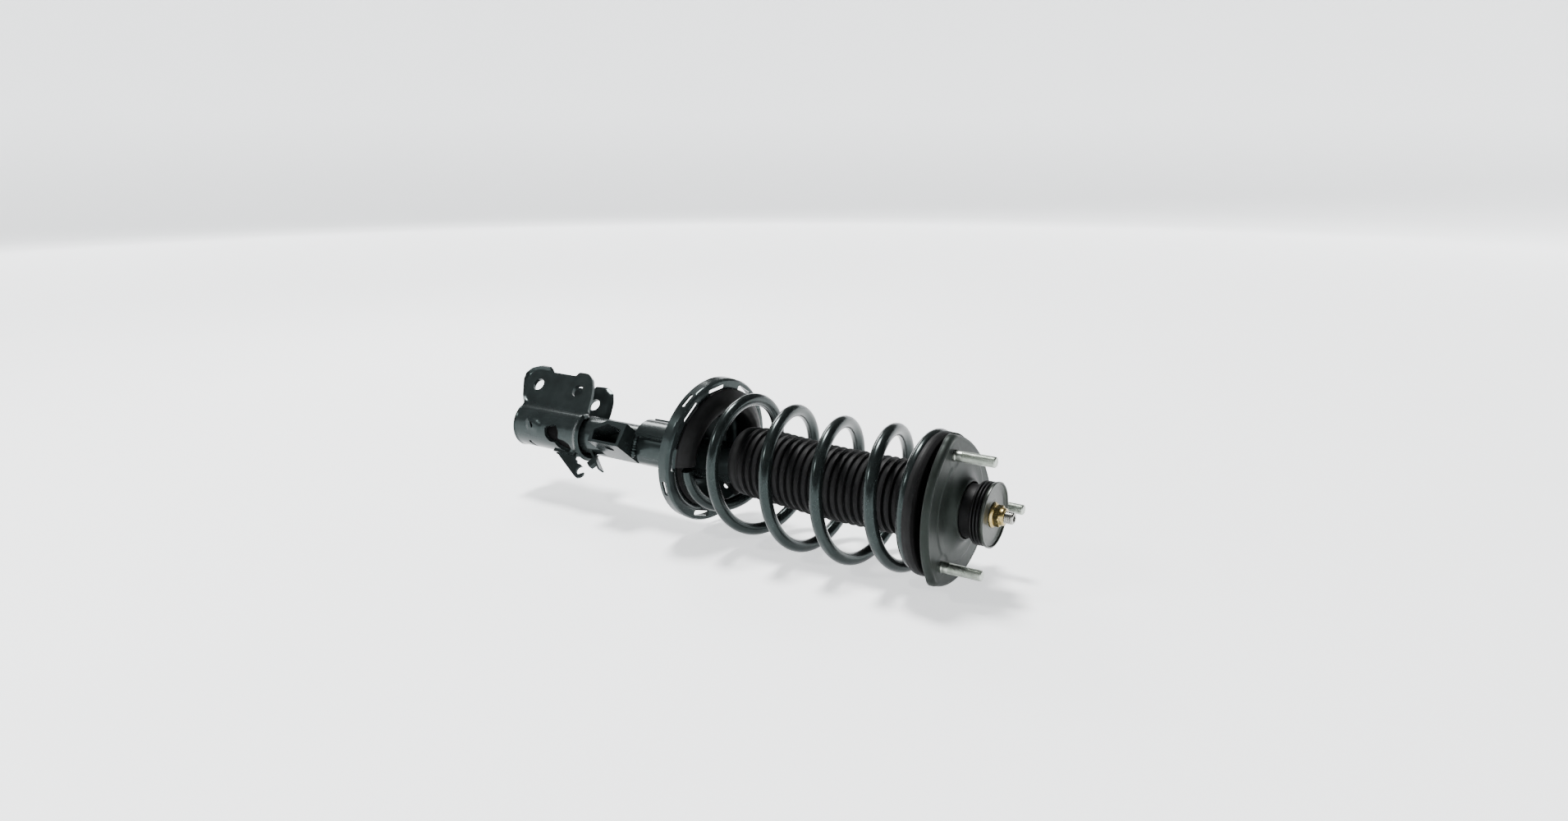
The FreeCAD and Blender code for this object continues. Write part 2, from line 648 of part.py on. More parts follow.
def top_nut():
    low = WASHER_STATION + 2.7
    bore = 6.95
    flange = revolve([(low, bore), (low, 14), (low + 1.6, 14), (low + 3.4, 11.5),
                      (low + 3.4, bore)])
    body = hexagon(21, low + 3, low + 10).cut(disc(low, low + 20, bore))
    collar = revolve([(low + 9.5, bore), (low + 9.5, 10.4), (low + 13, 10.4), (low + 14.5, 9),
                      (low + 14.5, bore)])
    return flange.fuse([body, collar])


# ---- welds ------------------------------------------------------------------------------------
def weld_beads():
    """Fillet welds that hold the brackets and the seat to the tube."""
    leg = 4.0
    foot = TUBE_R + 0.05

    def ring(x, start, sweep, side, reach=leg):
        bead = revolve([(x, foot), (x + side * leg, foot),
                        (x + side * leg * 0.4, TUBE_R + reach * 0.6), (x, TUBE_R + reach)], sweep)
        return turned(bead, start - 90)

    seat_ring = ring(SEAT_FLOOR - 26.1, -150, 240, -1, 2.8)
    arch_ring = ring(BRACKET_LENGTH + 1, -100, 150, 1)
    upright = Part.makeCylinder(3.2, 22, Vector(211.5, -19, -26), Vector(0, 0.25, 1))
    upright = in_bracket_frame(upright).cut(disc(150, 300, foot))
    return [seat_ring, arch_ring, upright]


def build():
    os.makedirs("parts", exist_ok=True)
    save("strut_tube", strut_tube())
    save("bottom_cap", bottom_cap())
    save("inner_cylinder", inner_cylinder())
    save("base_valve", base_valve())
    save("rod_guide", rod_guide())
    save("guide_bush", guide_bush())
    save("oil_seal", oil_seal())
    save("tube_cap", tube_cap())
    save("piston_rod", piston_rod())
    save("piston", piston())
    save("piston_ring", piston_ring())
    save("piston_shims", *piston_shims())
    save("piston_nut", piston_nut())
    save("rebound_stop", rebound_stop())
    save("knuckle_bracket", knuckle_bracket())
    save("hose_bracket", hose_bracket())
    save("sensor_lead_clip", sensor_lead_clip())
    save("link_bracket", link_bracket())
    save("seat_support", seat_support())
    save("lower_spring_seat", lower_spring_seat())
    save("lower_isolator", lower_isolator())
    save("coil_spring", coil_spring())
    save("dust_boot", dust_boot())
    save("bump_stop", bump_stop())
    save("upper_isolator", upper_isolator())
    save("upper_spring_seat", upper_spring_seat())
    save("bearing_lower_race", bearing_lower_race())
    save("bearing_balls", *bearing_balls())
    save("bearing_cage", bearing_cage())
    save("bearing_upper_race", bearing_upper_race())
    save("mount_plate", mount_plate())
    save("mount_studs", *mount_studs())
    save("mount_rubber", mount_rubber())
    save("mount_sleeve", mount_sleeve())
    save("rebound_washer", rebound_washer())
    save("top_nut", top_nut())
    save("weld_beads", *weld_beads())


build()
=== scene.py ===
import json
import math

import bmesh
import bpy
from mathutils import Matrix, Vector, geometry, noise


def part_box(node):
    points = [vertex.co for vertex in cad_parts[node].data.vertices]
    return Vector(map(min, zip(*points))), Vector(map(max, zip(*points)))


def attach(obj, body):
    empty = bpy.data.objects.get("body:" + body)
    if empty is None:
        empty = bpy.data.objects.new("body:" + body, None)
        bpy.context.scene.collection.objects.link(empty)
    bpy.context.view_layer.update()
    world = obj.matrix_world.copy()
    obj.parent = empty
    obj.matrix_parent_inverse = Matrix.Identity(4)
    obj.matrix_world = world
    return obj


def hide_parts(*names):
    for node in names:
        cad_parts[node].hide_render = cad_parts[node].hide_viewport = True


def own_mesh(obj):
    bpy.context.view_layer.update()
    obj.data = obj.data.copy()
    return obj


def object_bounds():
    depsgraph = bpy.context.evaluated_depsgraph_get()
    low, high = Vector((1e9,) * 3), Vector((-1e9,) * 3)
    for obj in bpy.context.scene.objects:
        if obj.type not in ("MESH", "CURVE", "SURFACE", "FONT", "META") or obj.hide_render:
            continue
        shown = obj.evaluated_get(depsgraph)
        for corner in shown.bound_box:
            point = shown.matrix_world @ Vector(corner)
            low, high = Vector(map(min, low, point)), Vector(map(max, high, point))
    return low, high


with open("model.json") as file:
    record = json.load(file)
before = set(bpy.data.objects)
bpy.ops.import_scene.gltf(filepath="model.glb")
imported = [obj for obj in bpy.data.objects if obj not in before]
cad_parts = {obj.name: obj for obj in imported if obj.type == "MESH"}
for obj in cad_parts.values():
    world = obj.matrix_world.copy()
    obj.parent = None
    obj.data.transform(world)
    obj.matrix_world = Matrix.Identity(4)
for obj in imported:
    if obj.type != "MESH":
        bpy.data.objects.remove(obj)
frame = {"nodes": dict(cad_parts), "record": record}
cad_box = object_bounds()
nodes = frame["nodes"]

# A front strut lying on its side. Lengths in the tables below are millimetres along the strut's
# axis from the bracket's lower end; the row's origin is in the top mount's face.
MM = 0.001
FACE = 650.0
FULL = 2 * math.pi


def P(x, y=0.0, z=0.0):
    """A point in the row frame, in metres, from millimetres with x as a station."""
    return Vector(((x - FACE) * MM, y * MM, z * MM))


def around(angle, radius, x=0.0):
    """Offset point at an angle in degrees from +Y towards +Z about the strut's axis."""
    turn = math.radians(angle)
    return (x, radius * math.cos(turn), radius * math.sin(turn))


def station(node, high=True):
    """Station of a CAD node's high or low end."""
    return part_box(node)[1 if high else 0][0] / MM + FACE


def smooth(value):
    """Eased step from 0 to 1."""
    share = min(max(value, 0.0), 1.0)
    return share * share * (3 - 2 * share)


def curve(start, corner, finish, t):
    """Point at share t of the curve that rounds a corner off."""
    return (1 - t) ** 2 * start + 2 * t * (1 - t) * corner + t ** 2 * finish


def hexagon(half_flats, k, segments):
    """Distance from a hexagon's middle to its edge at step k of a turn."""
    turn = (360 * k / segments) % 60 - 30
    return half_flats / math.cos(math.radians(turn))


# ---- materials --------------------------------------------------------------------------------
DRIFT_LOW, DRIFT_HIGH = 0.32, 0.70      # noise values where the colour drift starts and ends
GRAIN_DEPTH = 0.0003                    # metres


def material(name, base, rough, metallic=0.0, vary=0.35, rough_vary=0.08, scale=90.0, bump=0.0,
             bump_scale=900.0, specular=0.5, tint=None, specks=None):
    """Principled surface whose colour and roughness drift with noise, with a fine bump. specks
    is (cells per metre, size as a share of a cell, colour)."""
    mat = bpy.data.materials.new(name)
    mat.use_nodes = True
    tree = mat.node_tree
    shader = tree.nodes["Principled BSDF"]
    coords = tree.nodes.new("ShaderNodeTexCoord")

    def noise_node(size, detail):
        node = tree.nodes.new("ShaderNodeTexNoise")
        node.inputs["Scale"].default_value = size
        node.inputs["Detail"].default_value = detail
        tree.links.new(coords.outputs["Object"], node.inputs["Vector"])
        return node

    drift = noise_node(scale, 5.0)
    ramp = tree.nodes.new("ShaderNodeValToRGB")
    low, high = ramp.color_ramp.elements
    low.position, high.position = DRIFT_LOW, DRIFT_HIGH
    low.color = (*[c * (1 - vary) for c in base], 1)
    high.color = (*[min(c * (1 + vary), 1) for c in base], 1)
    tree.links.new(drift.outputs["Fac"], ramp.inputs["Fac"])
    colour = ramp.outputs["Color"]
    if specks:
        density, size, dark = specks
        spots = tree.nodes.new("ShaderNodeTexVoronoi")
        spots.inputs["Scale"].default_value = density
        tree.links.new(coords.outputs["Object"], spots.inputs["Vector"])
        limit = tree.nodes.new("ShaderNodeMath")
        limit.operation = "LESS_THAN"
        limit.inputs[1].default_value = size
        tree.links.new(spots.outputs["Distance"], limit.inputs[0])
        mix = tree.nodes.new("ShaderNodeMixRGB")
        mix.inputs["Color2"].default_value = (*dark, 1)
        tree.links.new(limit.outputs[0], mix.inputs["Fac"])
        tree.links.new(colour, mix.inputs["Color1"])
        colour = mix.outputs["Color"]
    tree.links.new(colour, shader.inputs["Base Color"])

    patches = noise_node(scale * 2.3, 4.0)
    spread = tree.nodes.new("ShaderNodeMapRange")
    spread.inputs["To Min"].default_value = max(rough - rough_vary, 0.02)
    spread.inputs["To Max"].default_value = min(rough + rough_vary, 1.0)
    tree.links.new(patches.outputs["Fac"], spread.inputs["Value"])
    tree.links.new(spread.outputs["Result"], shader.inputs["Roughness"])

    if bump:
        grain = noise_node(bump_scale, 3.0)
        relief = tree.nodes.new("ShaderNodeBump")
        relief.inputs["Strength"].default_value = bump
        relief.inputs["Distance"].default_value = GRAIN_DEPTH
        tree.links.new(grain.outputs["Fac"], relief.inputs["Height"])
        tree.links.new(relief.outputs["Normal"], shader.inputs["Normal"])
    shader.inputs["Metallic"].default_value = metallic
    shader.inputs["Specular IOR Level"].default_value = specular
    if tint:
        shader.inputs["Specular Tint"].default_value = (*tint, 1)
    return mat


GLOSS = material("gloss_black_paint", (0.0120, 0.0150, 0.0150), 0.20, vary=0.2, rough_vary=0.02,
                 scale=45, bump=0.02, bump_scale=120, specular=0.27, tint=(0.72, 0.95, 0.93))
SPRING_PAINT = material("spring_paint", (0.0070, 0.0090, 0.0088), 0.22, vary=0.3,
                        rough_vary=0.02, scale=60, bump=0.02, bump_scale=120, specular=0.34,
                        tint=(0.74, 0.94, 0.92))
# Near-black matte paint: the upper seat pressing's own dull black, and painted shade on the tube
# under the bracket's wrap
DULL_BLACK_AND_PAINTED_SHADE = material("dull_black_and_painted_shade", (0.0016, 0.0016, 0.0017), 0.8, vary=0.3, scale=60,
                       bump=0.10, bump_scale=600, specular=0.06)
SATIN = material("satin_black_coat", (0.0105, 0.0130, 0.0115), 0.46, vary=0.30,
                 rough_vary=0.05, scale=38, bump=0.05, bump_scale=300, specular=0.15,
                 tint=(0.84, 1.0, 0.92), specks=(140.0, 0.045, (0.003, 0.003, 0.003)))
RUBBER = material("moulded_rubber", (0.0026, 0.0027, 0.0029), 0.55, vary=0.35, rough_vary=0.12,
                  scale=70, bump=0.12, bump_scale=900, specular=0.16)
BOOT_RUBBER = material("boot_rubber", (0.0032, 0.0035, 0.0037), 0.55, vary=0.30,
                       rough_vary=0.10, scale=55, bump=0.08, bump_scale=900, specular=0.16)
ZINC = material("bright_zinc", (0.36, 0.39, 0.35), 0.38, 1.0, vary=0.18, rough_vary=0.08,
                scale=180, bump=0.03, bump_scale=900)
GOLD = material("yellow_zinc", (0.40, 0.31, 0.13), 0.28, 1.0, vary=0.35, rough_vary=0.08,
                scale=150, bump=0.03, bump_scale=900)
WASHER = material("grey_plate", (0.024, 0.029, 0.024), 0.36, 0.5, vary=0.22, rough_vary=0.08,
                  scale=120, bump=0.03, bump_scale=700)
STEEL = material("turned_steel", (0.36, 0.36, 0.35), 0.30, 1.0, vary=0.15, rough_vary=0.08,
                 scale=200, bump=0.08, bump_scale=2000)
CHROME = material("hard_chrome", (0.34, 0.34, 0.32), 0.26, 1.0, vary=0.15, rough_vary=0.03,
                  scale=80, bump=0.03, bump_scale=2400)
FOAM = material("urethane_foam", (0.42, 0.38, 0.26), 0.80, vary=0.2, scale=160, bump=0.5,
                bump_scale=1400)
NYLON = material("black_nylon", (0.03, 0.03, 0.03), 0.5, vary=0.2, scale=200, bump=0.1,
                 bump_scale=1500)
LINING = material("bush_lining", (0.16, 0.17, 0.16), 0.55, vary=0.25, scale=300, bump=0.2,
                  bump_scale=2000)

FINISH = {"gloss_black_paint": GLOSS, "satin_black_paint": SATIN, "machined_steel": STEEL,
          "ground_chrome": CHROME, "bright_zinc": ZINC, "yellow_zinc": GOLD,
          "grey_plate": WASHER, "black_rubber": RUBBER, "bump_foam": FOAM,
          "bearing_steel": STEEL, "black_nylon": NYLON, "bush_coating": LINING}


# ---- mesh helpers -----------------------------------------------------------------------------
def piece(name, bm, mat, body, replaces=(), smooth_angle=40, bevel=0.0, thickness=0.0,
          offset=0.0, even=True):
    """Make an object from a bmesh, finish its edges and hang it on its body's empty. thickness
    turns a surface into sheet; even keeps the sheet's thickness round its bends."""
    mesh = bpy.data.meshes.new(name)
    bmesh.ops.recalc_face_normals(bm, faces=bm.faces)
    bm.to_mesh(mesh)
    bm.free()
    obj = bpy.data.objects.new(name, mesh)
    bpy.context.collection.objects.link(obj)
    mesh.materials.append(mat)
    if thickness:
        shell = obj.modifiers.new("sheet", "SOLIDIFY")
        shell.thickness = thickness * MM
        shell.offset = offset
        shell.use_even_offset = even
        shell.use_quality_normals = True
    finish_edges(obj, smooth_angle, bevel)
    if replaces:
        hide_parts(*replaces)
    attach(obj, body)
    return obj


def finish_edges(obj, smooth_angle, bevel):
    """Round the sharp edges when bevel is given, and shade the rest smooth."""
    if bevel:
        edge = obj.modifiers.new("edges", "BEVEL")
        edge.width = bevel * MM
        edge.segments = 2
        edge.limit_method = "ANGLE"
        edge.angle_limit = math.radians(38)
        edge.harden_normals = False
    obj.data.shade_smooth()
    obj.data.set_sharp_from_angle(angle=math.radians(smooth_angle))
    weighted = obj.modifiers.new("normals", "WEIGHTED_NORMAL")
    weighted.keep_sharp = True


def rounded_profile(points, radius=0.6, steps=3):
    """Round the corners of a closed (station, radius) outline."""
    out = []
    count = len(points)
    for i in range(count):
        before, corner, after = (Vector(points[(i + k) % count]) for k in (-1, 0, 1))
        back, ahead = before - corner, after - corner
        reach = min(radius, back.length * 0.45, ahead.length * 0.45)
        start = corner + back.normalized() * reach
        finish = corner + ahead.normalized() * reach
        for k in range(steps + 1):
            t = k / steps
            out.append(curve(start, corner, finish, t))
    return [(p.x, p.y) for p in out]


def skin(bm, rings):
    """Join closed rings of the same number of vertices with quads."""
    for near, far in zip(rings, rings[1:]):
        count = len(near)
        for k in range(count):
            j = (k + 1) % count
            bm.faces.new([near[k], near[j], far[j], far[k]])


def lathe(profile, segments=96, centre=None, sweep=360.0, start=0.0):
    """Revolve a closed (station, radius) outline about the strut's axis. centre(x) shifts it."""
    bm = bmesh.new()
    full = sweep >= 360.0
    steps = segments if full else segments + 1
    rings = []
    for k in range(steps):
        angle = start + sweep * k / segments
        ring = []
        for x, r in profile:
            _, y, z = around(angle, r)
            shift = centre(x) if centre else (0.0, 0.0)
            ring.append(bm.verts.new(P(x, y + shift[0], z + shift[1])))
        rings.append(ring)
    count = len(profile)
    for k in range(segments):
        near, far = rings[k], rings[(k + 1) % steps]
        for i in range(count):
            j = (i + 1) % count
            corners = [near[i], near[j], far[j], far[i]]
            if len(set(corners)) == 4:
                bm.faces.new(corners)
    if not full:
        bm.faces.new(rings[0])
        bm.faces.new(rings[-1])
    bmesh.ops.remove_doubles(bm, verts=bm.verts, dist=1e-6)
    return bm


def tube_along(points, radius, sides):
    """Sweep a section of radius(i, turn) along points (row frame, metres) and cap its ends."""
    bm = bmesh.new()
    rings = []
    count = len(points)
    normal = None
    for i, point in enumerate(points):
        tangent = (points[min(i + 1, count - 1)] - points[max(i - 1, 0)]).normalized()
        if normal is None:
            normal = tangent.orthogonal().normalized()
        normal = (normal - tangent * normal.dot(tangent)).normalized()
        across = tangent.cross(normal)
        ring = []
        for k in range(sides):
            turn = FULL * k / sides
            ring.append(bm.verts.new(point + (normal * math.cos(turn)
                                              + across * math.sin(turn)) * radius(i, turn) * MM))
        rings.append(ring)
    skin(bm, rings)
    for ring in (rings[0], rings[-1]):
        bm.faces.new(ring)
    return bm


BRACKET_ROLL = -39.6


def turn_bracket(point):
    """From the bracket's own frame, ears up, to the strut's."""
    turn = math.radians(BRACKET_ROLL)
    x, y, z = point
    return (x, y * math.cos(turn) - z * math.sin(turn), y * math.sin(turn) + z * math.cos(turn))


def inside_loop(u, v, loop):
    """Whether a point of the flat blank lies inside a closed loop."""
    hit = False
    for (ax, ay), (bx, by) in zip(loop, loop[1:] + loop[:1]):
        if (ay > v) != (by > v) and u < (bx - ax) * (v - ay) / (by - ay) + ax:
            hit = not hit
    return hit


def pattern(outline, holes, spacing, place):
    """Cut a flat (u, v) blank with holes, fill it evenly and bend it with place(u, v)."""
    loops = [outline] + holes
    verts, edges = [], []
    for loop in loops:
        first = len(verts)
        count = len(loop)
        verts += [Vector(p) for p in loop]
        edges += [(first + i, first + (i + 1) % count) for i in range(count)]
    low = Vector((min(p[0] for p in outline), min(p[1] for p in outline)))
    high = Vector((max(p[0] for p in outline), max(p[1] for p in outline)))
    columns = int((high.x - low.x) / spacing[0])
    rows = int((high.y - low.y) / spacing[1])
    for i in range(columns + 1):
        for j in range(rows + 1):
            spot = Vector((low.x + spacing[0] * (i + 0.5), low.y + spacing[1] * (j + 0.5)))
            near = min((spot - v).length for v in verts[:len(edges)])
            if near > min(spacing) * 0.55:
                verts.append(spot)
    result = geometry.delaunay_2d_cdt(verts, edges, [], 0, 1e-5)
    flat, faces = result[0], result[2]

    bm = bmesh.new()
    made = [bm.verts.new(P(*place(v.x, v.y))) for v in flat]
    for face in faces:
        middle = sum((flat[i] for i in face), Vector((0, 0))) / len(face)
        if inside_loop(middle.x, middle.y, outline) and not any(
                inside_loop(middle.x, middle.y, hole) for hole in holes):
            bm.faces.new([made[i] for i in face])
    loose = [v for v in bm.verts if not v.link_faces]
    bmesh.ops.delete(bm, geom=loose, context="VERTS")
    return bm


def dense(outline, step):
    """Add points along the sides of a closed outline."""
    out = []
    for (ax, ay), (bx, by) in zip(outline, outline[1:] + outline[:1]):
        parts = max(int(math.hypot(bx - ax, by - ay) / step), 1)
        out += [(ax + (bx - ax) * k / parts, ay + (by - ay) * k / parts) for k in range(parts)]
    return out


def soft_outline(points, radius, step):
    """Closed outline with round corners and close points."""
    return dense(rounded_profile(points, radius, 4), step)


def circle(x, y, radius, count=24, long=0.0, angle=0.0):
    """Round hole, or a round-ended slot when long is given, in a flat blank."""
    out = []
    for k in range(count):
        turn = FULL * k / count
        side = long / 2 if math.cos(turn) >= 0 else -long / 2
        px, py = side + radius * math.cos(turn), radius * math.sin(turn)
        c, s = math.cos(angle), math.sin(angle)
        out.append((x + px * c - py * s, y + px * s + py * c))
    return out


# ---- the coil spring --------------------------------------------------------------------------
WIRE_R = 7.5
COIL_R, COIL_LOW_R, COIL_TAPER = 77.4, 66.0, 4.4
COIL_START, COIL_START_ANGLE = 338.8, -172.0
COIL_LEAN, COIL_LEAN_TO = 12.3, 204.0
COIL_TURNS, COIL_CLOSED = 5.15, 5.0
COIL_PITCH, COIL_LOW_PITCH, COIL_HIGH_PITCH = 66.7, 26.0, -1.0
COIL_BOW, COIL_BOW_MIDDLE, COIL_BOW_DEPTH = 6.5e-4, 508.0, 5.3
COIL_SHIFT = 0.5                        # the coil's middle stands this far to +Y of the axis
COIL_STEPS, COIL_FINE_STEPS = 16, 80    # per turn, on the solid and on the drawn wire
SAWN_CHAMFERS = (0.9, 0.25)             # taken off the first two sections at each end


def spring_points():
    """Centre line of the wire, on the same steps as the solid and filled in between them."""
    coarse, per_turn = COIL_STEPS, COIL_FINE_STEPS
    stations = [COIL_START]
    for i in range(int(COIL_TURNS * coarse)):
        t = i / coarse
        pitch = (COIL_PITCH - (COIL_PITCH - COIL_LOW_PITCH) * (1 - smooth(t / 1.2))
                 - (COIL_PITCH - COIL_HIGH_PITCH) * (1 - smooth(COIL_CLOSED - t)))
        stations.append(stations[-1] + pitch / coarse)
    out = []
    last = (len(stations) - 1) / coarse
    for i in range(int(last * per_turn) + 1):
        t = i / per_turn
        k = min(int(t * coarse), len(stations) - 2)
        share = t * coarse - k
        level = stations[k] * (1 - share) + stations[k + 1] * share
        turn = COIL_START_ANGLE + 360 * t
        narrowed = (COIL_R - COIL_LOW_R) * (1 - smooth(t / 1.1))
        radius = COIL_R - narrowed - COIL_TAPER * smooth((t - COIL_CLOSED) / 1.5 + 1)
        centre_z = COIL_BOW * (level - COIL_BOW_MIDDLE) ** 2 - COIL_BOW_DEPTH
        lean = math.tan(math.radians(COIL_LEAN)) * (1 - smooth(t / 2)) * radius
        _, y, z = around(turn, radius)
        out.append(P(level - lean * math.cos(math.radians(turn - COIL_LEAN_TO)),
                     y + COIL_SHIFT, centre_z + z))
    return out


def coil_spring():
    points = spring_points()
    count = len(points)

    def section(i, turn):
        """Sawn ends have a small chamfer."""
        from_end = min(i, count - 1 - i)
        return WIRE_R - (SAWN_CHAMFERS[from_end] if from_end < len(SAWN_CHAMFERS) else 0.0)

    bm = tube_along(points, section, 28)
    obj = piece("coil_spring_wire", bm, SPRING_PAINT, "housing",
                ["coil_spring"], smooth_angle=60)
    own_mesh(obj)


# ---- dust boot --------------------------------------------------------------------------------
def dust_boot():
    """Bellows with a plain cuff. pleat is (share of the pitch, share of the depth)."""
    low, high = station("dust_boot", False), station("dust_boot")
    cuff, pleats, crest, valley, wall = 17.0, 24, 43.3, 39.8, 1.5
    rise, bend_length = 7.5, 150.0
    pleat = ((0.0, 0.0), (0.08, 0.18), (0.25, 0.34), (0.5, 0.42), (0.68, 0.52), (0.78, 0.86),
             (0.84, 1.0), (0.90, 0.92), (0.95, 0.35))
    outside = [(low, 32.5), (low + 0.6, 35.5), (low + 2.2, 38), (low + 5, 40.2),
               (low + 9, 41.4), (low + cuff - 2, 41.8)]
    pitch = (high - low - cuff - 4) / pleats
    for i in range(pleats):
        for share, height in pleat:
            outside.append((low + cuff + pitch * (i + share), valley + (crest - valley) * height))
    outside += [(high - 4, valley), (high - 2.5, crest - 2), (high, crest - 1)]
    inside = [(x, r - wall) for x, r in reversed(outside)]

    def bow(x):
        """The boot's lower end hangs on the offset seat, so its centre line bends up there."""
        return (0.0, rise * (1 - smooth((x - low) / bend_length)))

    bm = lathe(outside + inside, 112, centre=bow)
    obj = piece("dust_boot_bellows", bm, BOOT_RUBBER, "housing", ["dust_boot"],
                smooth_angle=70)
    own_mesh(obj)


# ---- knuckle bracket --------------------------------------------------------------------------
EAR_SHEET, EAR_OUTSIDE, WRAP_INSIDE = 4.9, 23.3, 25.1
EAR_MID = EAR_OUTSIDE - EAR_SHEET / 2
WRAP_MID = WRAP_INSIDE + EAR_SHEET / 2
EAR_HOLE_R, EAR_HOLE_HEIGHT, EAR_HOLE_STATIONS = 8.5, 49.7, (8, 80)


def bracket_profile():
    """Half of the bracket's cross-section at mid-sheet: points from the bottom of the wrap to
    the top of the ear."""
    wrap_steps, bend_steps, ear_steps, blend = 60, 12, 62, 8.0
    corner = math.asin(EAR_MID / WRAP_MID)
    joint = Vector((EAR_MID, WRAP_MID * math.cos(corner)))
    path = []
    stop = math.pi - corner - blend / WRAP_MID
    for i in range(wrap_steps):
        a = stop * i / wrap_steps
        path.append(Vector((WRAP_MID * math.sin(a), -WRAP_MID * math.cos(a))))
    start = Vector((WRAP_MID * math.sin(stop), -WRAP_MID * math.cos(stop)))
    finish = joint + Vector((0, blend))
    path += [curve(start, joint, finish, i / bend_steps) for i in range(bend_steps + 1)]
    path += [finish + Vector((0, 1.0 + i)) for i in range(ear_steps)]
    return path


def bracket_lookup():
    """Functions that read the cross-section by arc length and by height."""
    path = bracket_profile()
    lengths = [0.0]
    for a, b in zip(path, path[1:]):
        lengths.append(lengths[-1] + (b - a).length)

    def at(s):
        """Point and outward direction at arc length s; negative s is the near side."""
        side = -1 if s < 0 else 1
        reach = min(abs(s), lengths[-1] - 1e-6)
        k = next(i for i in range(len(lengths) - 1) if lengths[i + 1] > reach)
        share = (reach - lengths[k]) / (lengths[k + 1] - lengths[k])
        spot = path[k].lerp(path[k + 1], share)
        along = (path[min(k + 2, len(path) - 1)] - path[max(k - 1, 0)]).normalized()
        return side * spot.x, spot.y, side * along.y, -along.x

    def height(z):
        """Arc length up to a height on the ear."""
        return lengths[-1] - (path[-1].y - z)

    return at, height


def nearest_on(polyline, u, v):
    """Nearest point of an open line to a point of the flat blank."""
    spot = Vector((u, v))
    best = None
    for a, b in zip(polyline, polyline[1:]):
        start, run = Vector(a), Vector(b) - Vector(a)
        t = min(max((spot - start).dot(run) / run.length_squared, 0.0), 1.0)
        foot = start + run * t
        if best is None or (spot - foot).length < (spot - best).length:
            best = foot
    return best


def lip_height(polyline, u, v, radius, most):
    """Height out of the sheet of an edge that is turned up round a radius."""
    bend = radius * math.radians(most)
    gap = (nearest_on(polyline, u, v) - Vector((u, v))).length
    return radius * (1 - math.cos(max(bend - gap, 0.0) / radius))


def knuckle_bracket():
    """Wrap and two ears, bent from one flat blank of (station, arc length) points."""
    at, height = bracket_lookup()
    left = [(-1, 19), (-9.5, 28), (-21.5, 52), (-22.5, 64), (-15, 73), (-2, 77.5), (16, 77.5)]
    notch = [(22, 71), (66, 71), (69, 77)]
    right = [(86, 77), (96, 70), (103, 58), (109, 40), (112, 24)]
    flare = 117.5
    near = [(x, -height(z)) for x, z in left + notch + right]
    far_right = [(88, 78), (100, 71), (107, 58), (111, 40), (112, 24)]
    far = [(x, height(z)) for x, z in reversed(left + notch + far_right)]
    wrap = height(17)
    outline = near + [(flare, -wrap), (flare, wrap)] + far + [(-1, wrap), (-1, -wrap)]
    edge = dense(rounded_profile(outline, 2.5, 3), 2.2)
    holes = [circle(x, side * height(EAR_HOLE_HEIGHT), EAR_HOLE_R, 36)
             for x in EAR_HOLE_STATIONS for side in (-1, 1)]
    window_and_tongue = [(57, -33), (75, -38), (82.5, -30), (81, -21), (92, -20), (100, -16),
                         (101, -7), (97, 3), (88, 2), (76, -8), (74, -15), (64.5, -14.5),
                         (58, -22)]
    holes.append(soft_outline(window_and_tongue, 2.5, 1.8))
    holes.append(circle(27.3, -2.5, 3.0, 24, 9.0, 1.15))
    holes.append(circle(33, -32.5, 1.5, 16, 4.5, 0.9))
    holes.append(circle(60, 24.0, 9.0, 28, 20.0))
    near_lip = [(x, -height(z)) for x, z in left]
    far_lip = [(x, height(z)) for x, z in left]
    far_edge = [(x, height(z)) for x, z in far_right]
    wrap_end = wrap - 9
    wrap_low = [(-1, -wrap_end), (-1, wrap_end)]
    wrap_high = [(flare, -wrap_end), (flare, wrap_end)]
    lips = [(near_lip, 6.0, 66), (far_lip, 6.0, 66), (far_edge, 6.0, 60), (wrap_low, 5.0, 40),
            (wrap_high, 10.0, 66)]
    pad, pad_lift, pad_slope = [(21, -42), (35, -44), (52, -32), (44, -24), (26, -26)], 1.2, 2.6

    def place(u, v):
        lift = max(lip_height(line, u, v, radius, most) for line, radius, most in lips)
        if inside_loop(u, v, pad):
            depth = (nearest_on(pad + pad[:1], u, v) - Vector((u, v))).length
            lift += pad_lift * smooth(depth / pad_slope)
        y, z, out_y, out_z = at(v)
        return turn_bracket((u, y + out_y * lift, z + out_z * lift))

    bm = pattern(edge, holes, (2.5, 2.5), place)
    piece("knuckle_bracket_pressing", bm, GLOSS, "housing",
          ["knuckle_bracket"], smooth_angle=50, bevel=0.6, thickness=EAR_SHEET)


# ---- lower seat and its rubber ----------------------------------------------------------------
SEAT_STATION, SEAT_FLOOR, SEAT_LEAN, SEAT_LEAN_TO = 321.0, 306.0, 7.1, 225.0
SEAT_OFFSET = (0, 4, 11)
SEAT_MATRIX = (Matrix.Translation(Vector(SEAT_OFFSET) * MM)
               @ Matrix.Translation(P(SEAT_STATION))
               @ Matrix.Rotation(math.radians(SEAT_LEAN), 4,
                                 Vector(around(SEAT_LEAN_TO + 90, 1.0)))
               @ Matrix.Translation(-P(SEAT_STATION)))


